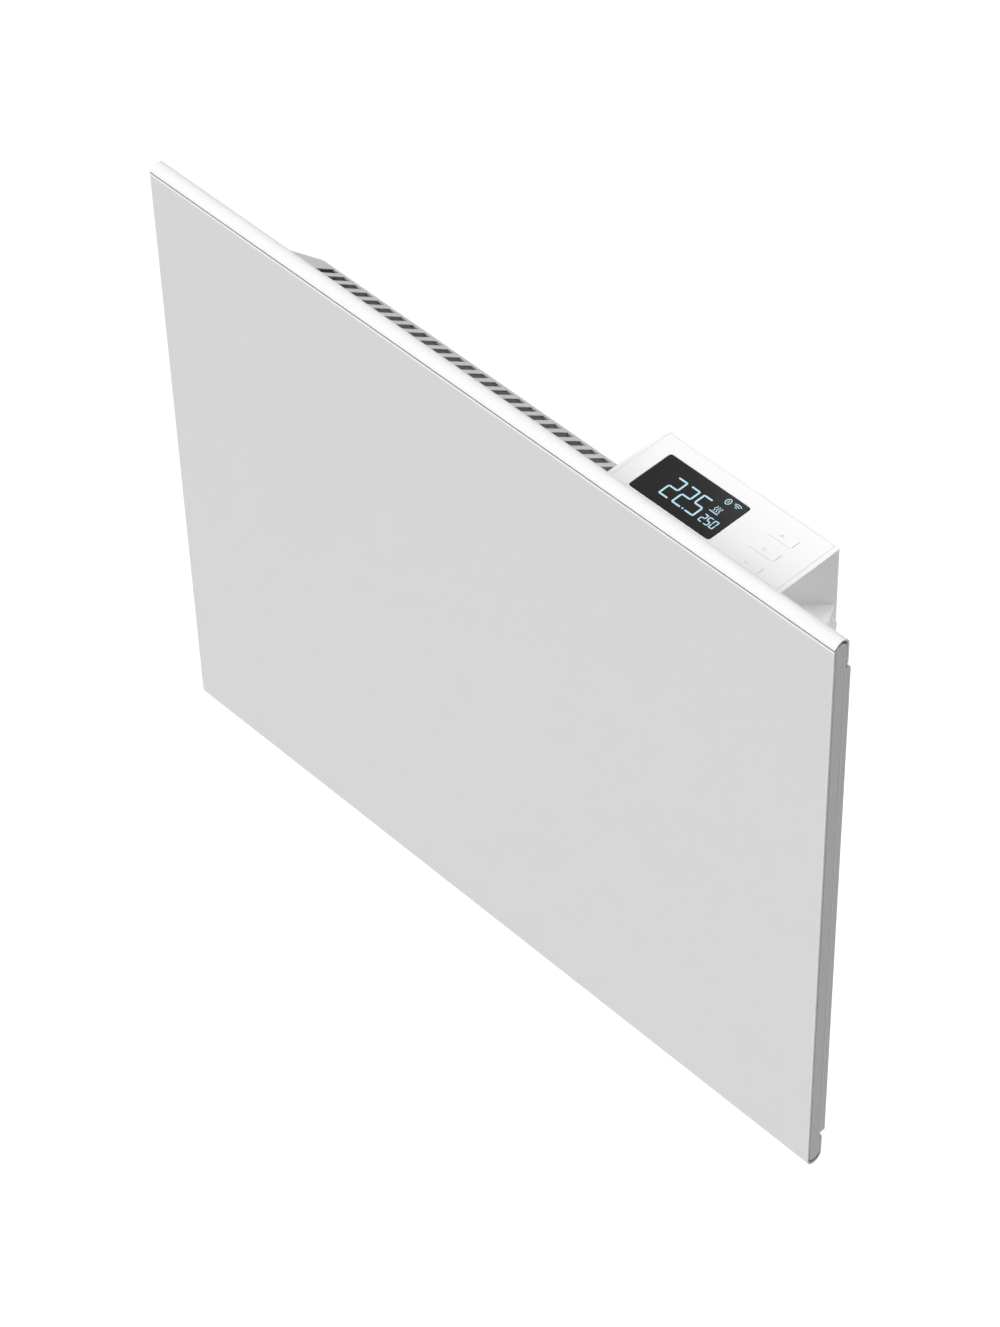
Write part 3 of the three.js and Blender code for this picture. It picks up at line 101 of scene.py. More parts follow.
# %% Camera
eye = Vector((1.13282, -1.12260, 1.65284))
forward = Vector((-0.50032, 0.46365, -0.73122)).normalized()
right = Vector((0.69546, 0.71827, -0.02051)).normalized()
up = right.cross(forward)
camera_data = bpy.data.cameras.new("studio_camera")
camera_data.lens = 117.763
camera_data.sensor_width = 36
camera_data.clip_start = 0.05
camera_data.clip_end = 50
camera = bpy.data.objects.new("studio_camera", camera_data)
bpy.context.scene.collection.objects.link(camera)
turn = Matrix((right, up, -forward)).transposed()
camera.matrix_world = Matrix.Translation(eye) @ turn.to_4x4()
bpy.context.scene.camera = camera
print("camera at", [round(v, 3) for v in eye], "lens", round(camera_data.lens, 1), "mm")

# %% [markdown]
# ## The studio
# A white object on white needs gentle light that still differs from side to side, or its edges
# vanish. The world gives light from everywhere, and two broad suns add the difference.
# The background is made white only for rays that come from the camera, from gloss or through
# glass, so that it puts no extra light on the heater. The kind of a ray comes from a Light Path
# node, and Math nodes turn it into one number. Both the world and the floor use that number.

# %% Helpers for the studio


def maths(tree, operation, *entries):
    """The result of a new Math node, whose entries are numbers or sockets that feed it."""
    node = tree.nodes.new("ShaderNodeMath")
    node.operation = operation
    for place, entry in zip(node.inputs, entries):
        if isinstance(entry, bpy.types.NodeSocket):
            tree.links.new(entry, place)
        else:
            place.default_value = entry
    return node.outputs[0]


def seen_rays(tree):
    """1 for rays of the camera, of gloss and through glass, and 0 for those that carry light."""
    path = tree.nodes.new("ShaderNodeLightPath").outputs
    direct = maths(tree, "MAXIMUM", path["Is Camera Ray"], path["Is Glossy Ray"])
    return maths(tree, "MAXIMUM", direct, path["Is Transmission Ray"])


# %% World
WORLD_LIGHT = 0.3
scene = bpy.context.scene
scene.view_settings.view_transform = "Standard"
world = bpy.data.worlds.new("studio_world")
world.use_nodes = True
scene.world = world
tree = world.node_tree
soft = tree.nodes["Background"]
soft.inputs["Color"].default_value = (1, 1, 1, 1)
soft.inputs["Strength"].default_value = WORLD_LIGHT
seen = tree.nodes.new("ShaderNodeBackground")
seen.inputs["Color"].default_value = (1, 1, 1, 1)
seen.inputs["Strength"].default_value = 1
choose = tree.nodes.new("ShaderNodeMixShader")
tree.links.new(seen_rays(tree), choose.inputs["Fac"])
tree.links.new(soft.outputs[0], choose.inputs[1])
tree.links.new(seen.outputs[0], choose.inputs[2])
tree.links.new(choose.outputs[0], tree.nodes["World Output"].inputs["Surface"])
print("world light:", WORLD_LIGHT)

# %% [markdown]
# The floor is a plain pale plane, far enough below the heater to keep its shadow soft. Its own grey
# returns some light, and a glow that only the seen rays meet lifts it to white.

# %% Floor
FLOOR_Z = -1.25
FLOOR_SIZE = 16
FLOOR_GREY = 0.58
FLOOR_GLOW = 0.5
bpy.ops.object.select_all(action="DESELECT")
bpy.ops.mesh.primitive_plane_add(size=FLOOR_SIZE, location=(0, 0, FLOOR_Z))
floor = bpy.context.object
floor.name = "studio_floor"
floor_paint = bpy.data.materials.new("studio_floor")
floor_paint.use_nodes = True
tree = floor_paint.node_tree
matt = tree.nodes["Principled BSDF"]
matt.inputs["Base Color"].default_value = (FLOOR_GREY, FLOOR_GREY, FLOOR_GREY, 1)
matt.inputs["Roughness"].default_value = 0.9
matt.inputs["Specular IOR Level"].default_value = 0
white = tree.nodes.new("ShaderNodeEmission")
tree.links.new(maths(tree, "MULTIPLY", seen_rays(tree), FLOOR_GLOW), white.inputs["Strength"])
both = tree.nodes.new("ShaderNodeAddShader")
tree.links.new(matt.outputs[0], both.inputs[0])
tree.links.new(white.outputs[0], both.inputs[1])
tree.links.new(both.outputs[0], tree.nodes["Material Output"].inputs["Surface"])
floor.data.materials.append(floor_paint)
floor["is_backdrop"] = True
print("floor at Z =", FLOOR_Z)

# %% [markdown]
# The main sun stands high in front on the left, and a weaker one behind, so that the right-hand
# sides fall into soft shade. A sun as wide as these has no hard shadow, like a big lamp box.

# %% Lamps
SUN_WIDTH = 60


def sun(name, strength, towards):
    """A broad sun along a direction. It lights a white surface that faces it to its strength."""
    data = bpy.data.lights.new(name, "SUN")
    data.energy = strength * math.pi
    data.angle = math.radians(SUN_WIDTH)
    lamp = bpy.data.objects.new(name, data)
    scene.collection.objects.link(lamp)
    lamp.rotation_euler = Vector(towards).to_track_quat("-Z", "Y").to_euler()


sun("front_left_light", 0.84, (0.357, 0.618, -0.7))
sun("rear_light", 0.29, (0.1, -0.83, -0.55))

# %% [markdown]
# ## Finishes
# Every finish is a small set of nodes. Noise on the object's own coordinates gives the fine grain
# of powder paint or moulded plastic: it slightly changes the colour, the roughness and, through a
# bump node, the surface. The scale of the noise is in features per metre, so 900 means grains of
# about a millimetre. Amounts stay small, because clean white paint is very even.
# Two marks can be laid over the colour, both chosen by place, and both are painted light. Past an
# edge the colour is lighter, a painted highlight for the folds, which catch more light than the
# flat face. In a crease the colour is scaled by a factor: below 1 it is painted shade, because
# little light gets into so fine a line, and above 1 it is a painted highlight on a fold.

# %% Helpers for finishes
CLOUD_SCALE = 5
RELIEF = 0.2


def noise(tree, place, scale, detail=2):
    """A Noise Texture with so many features per metre, which gives a strength from 0 to 1."""
    node = tree.nodes.new("ShaderNodeTexNoise")
    node.inputs["Scale"].default_value = scale
    node.inputs["Detail"].default_value = detail
    tree.links.new(place, node.inputs["Vector"])
    return node.outputs["Fac"]


def ramp(tree, strength, dark, light, span=(0, 1)):
    """A colour that moves from dark to light while a strength moves over a span."""
    node = tree.nodes.new("ShaderNodeValToRGB")
    for stop, place, colour in zip(node.color_ramp.elements, span, (dark, light)):
        stop.position = place
        stop.color = (*colour, 1)
    tree.links.new(strength, node.inputs["Fac"])
    return node.outputs["Color"]


def scaled(tree, colour, factor):
    """A colour with its lightness multiplied by a factor."""
    tone = tree.nodes.new("ShaderNodeHueSaturation")
    tone.inputs["Value"].default_value = factor
    tree.links.new(colour, tone.inputs["Color"])
    return tone.outputs["Color"]


# %% Helpers for the marks


def marked(tree, colour, mask, factor):
    """A colour that is scaled only where the mask is 1."""
    change = tree.nodes.new("ShaderNodeMix")
    change.data_type = "RGBA"
    tree.links.new(mask, change.inputs["Factor"])
    tree.links.new(colour, change.inputs["A"])
    tree.links.new(scaled(tree, colour, factor), change.inputs["B"])
    return change.outputs["Result"]


# with_edge paints a highlight: the colour is made lighter past the edge.
def with_edge(tree, axes, colour, height, middle, factor):
    """Scales a colour above a height and farther than middle to either side."""
    above = maths(tree, "GREATER_THAN", axes["Z"], height)
    sideways = maths(tree, "GREATER_THAN", maths(tree, "ABSOLUTE", axes["X"]), middle)
    return marked(tree, colour, maths(tree, "MAXIMUM", above, sideways), factor)


# with_crease paints shade in a groove when its factor is below 1, and a highlight when it is above
# 1.
def with_crease(tree, axes, colour, height, half, rear, factor):
    """Scales a colour within half of a height, as far back as the Y of the crease's rear."""
    level = maths(tree, "COMPARE", axes["Z"], height, half)
    near = maths(tree, "LESS_THAN", axes["Y"], rear)
    return marked(tree, colour, maths(tree, "MULTIPLY", level, near), factor)


# %% The maker of finishes


def grey(value, warm=0.0):
    return (value, value, value * (1 - warm))


def grainy(name, light, dark, rough, grain, bump, edge=None, crease=None, **fixed):
    """A finish with fine grain: its colour moves between light and dark, its roughness over rough.
    An edge and a crease are the last values of with_edge and with_crease."""
    material = bpy.data.materials.new(name)
    material.use_nodes = True
    tree = material.node_tree
    shader = tree.nodes["Principled BSDF"]
    for socket, value in fixed.items():
        shader.inputs[socket.replace("_", " ")].default_value = value
    place = tree.nodes.new("ShaderNodeTexCoord").outputs["Object"]
    fine = noise(tree, place, grain, 3)
    blend = tree.nodes.new("ShaderNodeMix")
    blend.inputs[0].default_value = 0.5
    tree.links.new(fine, blend.inputs[2])
    tree.links.new(noise(tree, place, CLOUD_SCALE), blend.inputs[3])
    colour = ramp(tree, blend.outputs[0], dark, light, (0.35, 0.65))
    split = tree.nodes.new("ShaderNodeSeparateXYZ")
    tree.links.new(place, split.inputs[0])
    if edge:
        colour = with_edge(tree, split.outputs, colour, *edge)
    if crease:
        colour = with_crease(tree, split.outputs, colour, *crease)
    tree.links.new(colour, shader.inputs["Base Color"])
    span = tree.nodes.new("ShaderNodeMapRange")
    span.inputs["To Min"].default_value = rough[0]
    span.inputs["To Max"].default_value = rough[1]
    tree.links.new(fine, span.inputs["Value"])
    tree.links.new(span.outputs["Result"], shader.inputs["Roughness"])
    relief = tree.nodes.new("ShaderNodeBump")
    relief.inputs["Strength"].default_value = bump
    relief.inputs["Distance"].default_value = RELIEF * MM
    tree.links.new(fine, relief.inputs["Height"])
    tree.links.new(relief.outputs["Normal"], shader.inputs["Normal"])
    return material


# %% [markdown]
# The flat face of the panel is a very matt pale grey. The casing's paint is a tone darker and has
# more gloss, and its grey is set darker still, as painted shade for the shade it lies in behind the
# panel. The mouldings are the whitest. Several pieces share the paint of the panel and only differ
# in their marks, so its values are kept in one place.

# %% The finishes of the heater
PANEL_LIGHT = 0.71
PANEL_PAINT = {
    "light": grey(PANEL_LIGHT),
    "dark": grey(0.7),
    "rough": (0.55, 0.7),
    "grain": 1100,
    "bump": 0.05,
    "Specular_IOR_Level": 0.15,
}
finishes = {
    "panel_paint": grainy("pale_powder_paint", **PANEL_PAINT),
    # The casing's grey is set darker than its paint, as painted shade for the shade behind the
    # panel.
    "casing_paint": grainy(
        "satin_casing_paint_with_painted_shade",
        grey(0.58), grey(0.56), (0.4, 0.52), 900, 0.08,
        Specular_IOR_Level=0.4,
    ),
    "bracket_paint": grainy(
        "bracket_paint", grey(0.78, 0.01), grey(0.75, 0.01), (0.45, 0.6), 700, 0.1
    ),
    "housing_plastic": grainy(
        "white_moulded_plastic",
        grey(0.94), grey(0.93), (0.3, 0.4), 1600, 0.05,
        Specular_IOR_Level=0.45,
    ),
    "button_plastic": grainy(
        "button_plastic",
        grey(0.945), grey(0.935), (0.28, 0.36), 1800, 0.04,
        Specular_IOR_Level=0.45,
    ),
    "black_glass": grainy(
        "black_display_glass",
        (0.008, 0.008, 0.009), (0.006, 0.006, 0.007), (0.04, 0.08), 300, 0.01,
        Specular_IOR_Level=0.2,
    ),
    "bare_steel": grainy(
        "zinc_plated_steel",
        (0.62, 0.63, 0.65), (0.52, 0.53, 0.55), (0.28, 0.42), 500, 0.08,
        Metallic=1.0,
    ),
    "aluminium_fins": grainy(
        "bare_aluminium",
        (0.78, 0.79, 0.8), (0.68, 0.69, 0.7), (0.3, 0.45), 260, 0.08,
        Metallic=1.0,
    ),
    "ceramic": grainy(
        "steatite", (0.72, 0.68, 0.58), (0.66, 0.61, 0.51), (0.55, 0.7), 700, 0.1
    ),
    "circuit_board": grainy(
        "circuit_board", (0.02, 0.14, 0.06), (0.015, 0.1, 0.045), (0.3, 0.5), 400, 0.1
    ),
    "dark_plastic": grainy(
        "dark_plastic", (0.03, 0.031, 0.033), (0.022, 0.023, 0.025), (0.4, 0.55), 900, 0.1
    ),
    "spacer_rubber": grainy(
        "grey_rubber", (0.3, 0.3, 0.31), (0.25, 0.25, 0.26), (0.7, 0.85), 600, 0.15
    ),
    "wire_sleeve": grainy(
        "glass_fibre_sleeve", (0.66, 0.62, 0.53), (0.52, 0.48, 0.4), (0.6, 0.8), 1500, 0.4
    ),
}
slot_of = {row["node"]: row["material_slot"] for row in frame["record"]["subparts"]}
for name, node in frame["nodes"].items():
    node.data.materials.clear()
    node.data.materials.append(finishes[slot_of[name]])
print("finishes:", len(finishes))

# %% [markdown]
# ## Tools for modelling
# An operator works on whatever is selected, so each step first clears the selection, then takes
# one piece, and picks its faces or edges by where they are or which way they face. A finished
# piece has its place in its mesh and its object at the origin.
# Places closer together than NEAR count as the same, and corners within MERGE become one.

# %% Helpers that take and pick
NEAR = 1e-5
MERGE = 1e-6


def take(piece):
    """Makes one piece the only selected and active object, in object mode."""
    if bpy.context.object and bpy.context.object.mode != "OBJECT":
        bpy.ops.object.mode_set(mode="OBJECT")
    bpy.ops.object.select_all(action="DESELECT")
    if piece is not None:
        piece.select_set(True)
        bpy.context.view_layer.objects.active = piece
    return piece


def settle(name):
    """Names the new primitive and puts its place into its mesh."""
    piece = bpy.context.object
    piece.name = piece.data.name = name
    bpy.ops.object.transform_apply(location=True, rotation=True, scale=True)
    return piece


def pick(piece, kind, test=lambda item: True):
    """Opens a piece in edit mode and selects the faces, edges or vertices that pass a test."""
    if bpy.context.object != piece or piece.mode != "EDIT":
        take(piece)
        bpy.ops.object.mode_set(mode="EDIT")
    bpy.ops.mesh.select_mode(type=kind)
    bpy.ops.mesh.select_all(action="DESELECT")
    mesh = bmesh.from_edit_mesh(piece.data)
    mesh.normal_update()
    items = {"FACE": mesh.faces, "EDGE": mesh.edges, "VERT": mesh.verts}[kind]
    count = 0
    for item in items:
        if test(item):
            item.select_set(True)
            count += 1
    mesh.select_flush_mode()
    bmesh.update_edit_mesh(piece.data)
    return count


def centre(item):
    """The middle of a face or edge."""
    points = [v.co for v in item.verts]
    return sum(points, Vector()) / len(points)


# %% Helpers that shape


def shove(x=0.0, y=0.0, z=0.0):
    bpy.ops.transform.translate(value=(x, y, z))


def extrude(x=0.0, y=0.0, z=0.0):
    bpy.ops.mesh.extrude_region_move(TRANSFORM_OT_translate={"value": (x, y, z)})


def cut(piece, test, place, normal, **clear):
    """Cuts the faces that pass a test along a plane."""
    if pick(piece, "FACE", test):
        bpy.ops.mesh.bisect(plane_co=place, plane_no=normal, **clear)


def modify(piece, kind, **settings):
    """Adds one modifier and applies it."""
    take(piece)
    modifier = piece.modifiers.new(kind.title(), kind)
    for setting, value in settings.items():
        setattr(modifier, setting, value)
    bpy.ops.object.modifier_apply(modifier=modifier.name)


def round_edges(piece, width, segments=3, angle=30):
    """Rounds all edges that are sharper than an angle."""
    modify(
        piece,
        "BEVEL",
        width=width * MM,
        segments=segments,
        limit_method="ANGLE",
        angle_limit=math.radians(angle),
    )


def joined(name, pieces):
    """Makes one piece of several."""
    whole = take(pieces[0])
    for piece in pieces[1:]:
        piece.select_set(True)
    if len(pieces) > 1:
        bpy.ops.object.join()
    whole.name = whole.data.name = name
    return whole


# %% Helpers that finish a piece
FINE_ROUND = 0.08


def clean(piece, outwards=True):
    """Merges doubled corners and, on a closed piece, turns every face outwards."""
    pick(piece, "VERT")
    bpy.ops.mesh.remove_doubles(threshold=MERGE)
    if outwards:
        bpy.ops.mesh.normals_make_consistent(inside=False)
    take(piece)


def done(piece, slot, body, *stands_for, angle=35, finish=None):
    """Smooths, paints and fastens a finished piece to its body. Weighted Normal keeps the flat
    faces evenly lit up to their rounded edges."""
    take(piece)
    bpy.ops.object.shade_smooth_by_angle(angle=math.radians(angle))
    modify(piece, "WEIGHTED_NORMAL", keep_sharp=True, weight=100)
    piece.data.materials.clear()
    piece.data.materials.append(finish or finishes[slot])
    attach(piece, body)
    if stands_for:
        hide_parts(*stands_for)
    print(piece.name, "faces:", len(piece.data.polygons))
    return piece


def refined(node, width, segments=3, body="root", angle=30, fine=None, finish=None):
    """A merged copy of a loaded part with its sharp edges rounded, which then stands for it.
    Edges that pass the test fine get only a slight bevel."""
    source = frame["nodes"][node]
    piece = bpy.data.objects.new(node + "_rounded", source.data.copy())
    scene.collection.objects.link(piece)
    pick(piece, "VERT")
    if piece.data.has_custom_normals:
        bpy.ops.mesh.customdata_custom_splitnormals_clear()
    bpy.ops.mesh.remove_doubles(threshold=2 * MERGE)
    bpy.ops.mesh.dissolve_limited(angle_limit=math.radians(0.4))
    if fine:
        limit = math.radians(angle)
        sharp = lambda e: len(e.link_faces) == 2 and e.calc_face_angle(0) > limit
        pick(piece, "EDGE", lambda e: sharp(e) and not fine(e))
        bpy.ops.mesh.bevel(
            offset=width * MM, segments=segments, affect="EDGES", clamp_overlap=True
        )
        round_edges(piece, FINE_ROUND, 1, 50)
    else:
        round_edges(piece, width, segments, angle)
    return done(piece, slot_of[node], body, node, finish=finish)


# %% [markdown]
# ## The front panel
# The panel is one steel sheet: a flat face whose top and bottom edges are rolled back into tubes.
# Along the top the sheet first dips in a shallow band and a fine groove, which show as a bright and
# a dark line; along the bottom there is only a small bend. A plane makes the face. Its edges are
# extruded into those bends, spun around the axis of each roll, and drawn out into the return lip.
# Solidify then gives the thickness of the sheet, so the roll is a true hollow fold.
# A roll starts 20 degrees into its turn, so that it doesn't overhang the groove.

# %% Sizes of the folds
SHEET = 1
ROLL_RADIUS = 5.2
ROLL_Z = HALF_HEIGHT / MM - ROLL_RADIUS
ROLL_START = 20
ROLL_STEPS = 40
BAND_END = HALF_HEIGHT / MM - 3.98
BAND_WIDTH = 1.45
BAND_DEPTH = 0.12
GROOVE_DEPTH = 1.6
BOTTOM_BEND = 0.9
LIP_END = HALF_HEIGHT / MM - 18.5
roll_angle = math.radians(ROLL_START)
roll_z = ROLL_Z + ROLL_RADIUS * math.sin(roll_angle)
roll_depth = ROLL_RADIUS * (1 - math.cos(roll_angle))
face_top = BAND_END - BAND_WIDTH
face_low = -(roll_z - BOTTOM_BEND)
print("the flat face is", round(face_top - face_low, 2), "mm high")

# %% Panel sheet
take(None)
bpy.ops.mesh.primitive_plane_add(
    size=1, location=(0, FACE_Y, (face_top + face_low) / 2 * MM), rotation=(math.pi / 2, 0, 0)
)
bpy.context.object.scale = (2 * HALF_WIDTH, (face_top - face_low) * MM, 1)
panel = settle("panel_sheet")


def roll(way):
    """Spins the picked edge around the axis of the top (1) or bottom (-1) roll and adds the lip."""
    bpy.ops.mesh.spin(
        steps=ROLL_STEPS,
        angle=math.pi - roll_angle,
        center=(0, back(ROLL_RADIUS), way * ROLL_Z * MM),
        axis=(way, 0, 0),
    )
    extrude(z=way * (LIP_END - ROLL_Z) * MM)


pick(panel, "EDGE", lambda e: centre(e).z > face_top * MM - NEAR)
extrude(y=BAND_DEPTH * MM, z=BAND_WIDTH * MM)
extrude(y=(GROOVE_DEPTH - BAND_DEPTH) * MM)
extrude(z=(roll_z - BAND_END) * MM)
extrude(y=(roll_depth - GROOVE_DEPTH) * MM)
roll(1)
pick(panel, "EDGE", lambda e: centre(e).z < face_low * MM + NEAR)
extrude(y=roll_depth * MM, z=(-roll_z - face_low) * MM)
roll(-1)
take(panel)
heights = [v.co.z / MM for v in panel.data.vertices]
print("the sheet reaches from", round(min(heights), 2), "to", round(max(heights), 2), "mm")

# %% [markdown]
# Solidify adds the thickness on the side away from the face's normal, so the face has to look
# forward first. The folds of the real sheet aren't knife-sharp: the long upright edges of the face
# get the widest rounding, and all others a slight one.

# %% Thickness and soft edges of the panel
END_ROUND = 0.4
SHEET_ROUND = 0.14


def is_end_edge(e):
    """True for the long upright edges of the front face."""
    place = centre(e)
    is_long = abs(e.verts[0].co.z - e.verts[1].co.z) > HALF_HEIGHT / 2
    return is_long and abs(place.x) > HALF_WIDTH - NEAR and place.y < FACE_Y + NEAR


clean(panel, outwards=False)
face = max(panel.data.polygons, key=lambda f: f.area)
if face.normal.y > 0:
    pick(panel, "FACE")
    bpy.ops.mesh.flip_normals()
modify(panel, "SOLIDIFY", thickness=SHEET * MM, offset=-1, use_even_offset=True)
print("end edges:", pick(panel, "EDGE", is_end_edge))
bpy.ops.mesh.bevel(offset=END_ROUND * MM, segments=4, affect="EDGES")
round_edges(panel, SHEET_ROUND, 2, 38)

# %% Paint of the panel
SIDE_HIGHLIGHT_WIDTH = 0.45
ROLL_HIGHLIGHT = 0.87
GROOVE_SHADE = 0.2
# The rolls and a thin strip along each upright edge of the face are painted lighter, as painted
# highlight, and the fine groove is painted darker, as painted shade.
sheet_finish = grainy(
    "powder_paint_with_painted_roll_highlight_and_groove_shade",
    edge=(face_top * MM, HALF_WIDTH - SIDE_HIGHLIGHT_WIDTH * MM, ROLL_HIGHLIGHT / PANEL_LIGHT),
    crease=(
        (BAND_END + roll_z) / 2 * MM,
        (roll_z - BAND_END) / 2 * MM,
        back(GROOVE_DEPTH + 0.3),
        GROOVE_SHADE,
    ),
    **PANEL_PAINT,
)
done(panel, "panel_paint", "root", "front_panel", finish=sheet_finish)

# %% [markdown]
# ## The folded ends
# At each end a flat flange with round ends nests inside the rolls, a little way in. It starts as a
# disc, which is cut straight at its rear and split in the middle. Its halves are drawn apart to the
# height of the panel. Near both ends the rear edge steps back to meet the return lip. The flange
# gets its thickness, and a bevel makes its rim round. The rim at the top catches the light as the
# rolls do, and like them it is painted lighter, a painted highlight made by the same kind of edge.

# %% Sizes and paint of the end flanges
FLANGE_RADIUS = 3.6
FLANGE_REAR = 8.3
FLANGE_RECESS = 0.1
FLANGE_END = ROLL_Z - 1.4
FLANGE_ROUND = 0.4
STEP_REAR = 9.2
STEP_START = 178.5
STEP_RUN = 0.2
RIM_HIGHLIGHT = 0.88
RIM_HEIGHT = 0.9
BEYOND = 1
# The top of the rim is painted lighter, a painted highlight.
rim_highlight_finish = grainy(
    "powder_paint_with_painted_rim_highlight",
    edge=((FLANGE_END + FLANGE_RADIUS - RIM_HEIGHT) * MM, BEYOND, RIM_HIGHLIGHT / PANEL_LIGHT),
    **PANEL_PAINT,
)
print("flanges end at", round(FLANGE_END + FLANGE_RADIUS, 2), "mm")

# %% End flanges


def is_step(v):
    """True for the corners behind the step at either end of a flange."""
    return v.co.y > back(FLANGE_REAR) - NEAR and abs(v.co.z) > (STEP_START + STEP_RUN / 2) * MM


for side, sign in (("left", -1), ("right", 1)):
    take(None)
    bpy.ops.mesh.primitive_circle_add(
        vertices=64,
        radius=FLANGE_RADIUS * MM,
        fill_type="NGON",
        location=(sign * (HALF_WIDTH - FLANGE_RECESS * MM), back(ROLL_RADIUS), 0),
        rotation=(0, sign * math.pi / 2, 0),
    )
    flange = settle("end_flange_" + side)
    every = lambda f: True
    cut(flange, every, (0, back(FLANGE_REAR), 0), (0, 1, 0), clear_outer=True)
    cut(flange, every, (0, 0, 0), (0, 0, 1))
    for way in (1, -1):
        pick(flange, "VERT", lambda v: v.co.z * way > NEAR)
        shove(z=way * FLANGE_END * MM)
    for z in (-STEP_START - STEP_RUN, -STEP_START, STEP_START, STEP_START + STEP_RUN):
        cut(flange, every, (0, 0, z * MM), (0, 0, 1))
    pick(flange, "VERT", is_step)
    shove(y=(STEP_REAR - FLANGE_REAR) * MM)
    pick(flange, "FACE")
    extrude(x=-sign * SHEET * MM)
    take(flange)
    clean(flange)
    round_edges(flange, FLANGE_ROUND, 4)
    done(flange, "panel_paint", "root", finish=rim_highlight_finish)

# %% [markdown]
# The plate that closes the panel from behind has its own folded sides. Their front edge is a fold
# too, and like the other folds it is painted a little lighter than the flat paint, a painted
# highlight.

# %% The plate that closes the panel's back
PLATE_FOLD = 9
FOLD_HIGHLIGHT = 1.24
# The front of the plate's folded sides is painted lighter, a painted highlight.
plate_highlight_finish = grainy(
    "plate_paint_with_painted_fold_highlight", crease=(0, BEYOND, back(PLATE_FOLD), FOLD_HIGHLIGHT), **PANEL_PAINT
)
refined("panel_back_plate", 0.2, 2, finish=plate_highlight_finish)

# %% [markdown]
# ## The casing
# Behind the panel sits a shallow steel pyramid with rounded corners. Three outlines describe it:
# the edge of its flat brim, the foot of its slope and the edge of its rear wall. Each is a plane
# whose corners are rounded with a vertex bevel. As all have the same number of corners, Bridge
# joins one to the next, and the rear outline is filled. Working on this single skin keeps the cuts
# for the air slots simple, and Solidify turns it into sheet at the end.

# %% Sizes of the casing
CASING_REAR = 60
CASING_FOOT = 13.6
BRIM_DEPTH = 12.6
BRIM_WIDTH = 7
SLOPE = 0.7
FOOT_CORNER = BRIM_CORNER = 10
REAR_CORNER = 9
casing_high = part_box("rear_casing")[1]
BRIM_X, BRIM_Z = casing_high.x / MM, casing_high.z / MM
FOOT_X = BRIM_X - BRIM_WIDTH - SLOPE * (CASING_FOOT - BRIM_DEPTH)
FOOT_Z = BRIM_Z - BRIM_WIDTH - SLOPE * (CASING_FOOT - BRIM_DEPTH)
REAR_X = FOOT_X - SLOPE * (CASING_REAR - CASING_FOOT)
REAR_Z = FOOT_Z - SLOPE * (CASING_REAR - CASING_FOOT)
print("rear wall, half width and height:", round(REAR_X, 1), round(REAR_Z, 1))

# %% Casing skin


def outline(name, half_x, half_z, depth, radius):
    """A rounded rectangle of edges that stands upright at a depth behind the face."""
    take(None)
    bpy.ops.mesh.primitive_plane_add(
        size=1, location=(0, back(depth), 0), rotation=(-math.pi / 2, 0, 0)
    )
    bpy.context.object.scale = (2 * half_x * MM, 2 * half_z * MM, 1)
    ring = settle(name)
    pick(ring, "VERT")
    bpy.ops.mesh.bevel(offset=radius * MM, segments=12, affect="VERTICES")
    pick(ring, "FACE")
    bpy.ops.mesh.delete(type="ONLY_FACE")
    return take(ring)


foot = outline("casing_sheet", FOOT_X, FOOT_Z, CASING_FOOT, FOOT_CORNER)
rear = outline("rear_ring", REAR_X, REAR_Z, CASING_REAR, REAR_CORNER)
brim = outline("brim_ring", BRIM_X, BRIM_Z, CASING_FOOT, BRIM_CORNER)
casing = joined("casing_sheet", (foot, rear))
pick(casing, "VERT")
bpy.ops.mesh.bridge_edge_loops()
pick(casing, "EDGE", lambda e: centre(e).y > back(CASING_REAR) - NEAR)
bpy.ops.mesh.edge_face_add()
casing = joined("casing_sheet", (casing, brim))
pick(casing, "VERT", lambda v: v.co.y < back(CASING_FOOT) + NEAR)
bpy.ops.mesh.bridge_edge_loops()
pick(casing, "FACE")
bpy.ops.mesh.normals_make_consistent(inside=False)
take(casing)
rear_face = max(casing.data.polygons, key=lambda f: f.center.y)
if rear_face.normal.y < 0:
    pick(casing, "FACE")
    bpy.ops.mesh.flip_normals()
    take(casing)
print("casing skin:", len(casing.data.polygons), "faces")

# %% [markdown]
# The warm air leaves through a row of slots in the top slope, and cold air enters through a longer
# row in the bottom slope. Each slot is found by cutting the slope with planes (bisect) and deleting
# the faces between them.

# %% Air slots
SLOT_WIDTH = 4.8
SLOT_PITCH = 8.714
SLOT_FRONT = 22
SLOT_REAR = 57.6
FIRST_SLOT = 17.6 - REAR_X
SLOT_COUNTS = {1: 26, -1: 38}
slot_rows = {
    way: [FIRST_SLOT + i * SLOT_PITCH for i in range(count)] for way, count in SLOT_COUNTS.items()
}
for way, row in slot_rows.items():
    on_slope = lambda f: f.normal.z * way > 0.5 and centre(f).y > back(CASING_FOOT + 2)
    for depth in (SLOT_FRONT, SLOT_REAR):
        cut(casing, on_slope, (0, back(depth), 0), (0, 1, 0))
    middle = lambda f: on_slope(f) and back(SLOT_FRONT) < centre(f).y < back(SLOT_REAR)
    for x in row:
        for edge in (x, x + SLOT_WIDTH):
            cut(casing, middle, (edge * MM, 0, 0), (1, 0, 0))
    in_slot = lambda f: middle(f) and any(
        x * MM < centre(f).x < (x + SLOT_WIDTH) * MM for x in row
    )
    print("slots cut:", pick(casing, "FACE", in_slot))
    bpy.ops.mesh.delete(type="FACE")

# %% [markdown]
# The heater hangs on four hooks of its wall bracket. They reach in through tall holes in the rear
# wall, which are cut in the same way. The corner where the control housing sits is cut away.

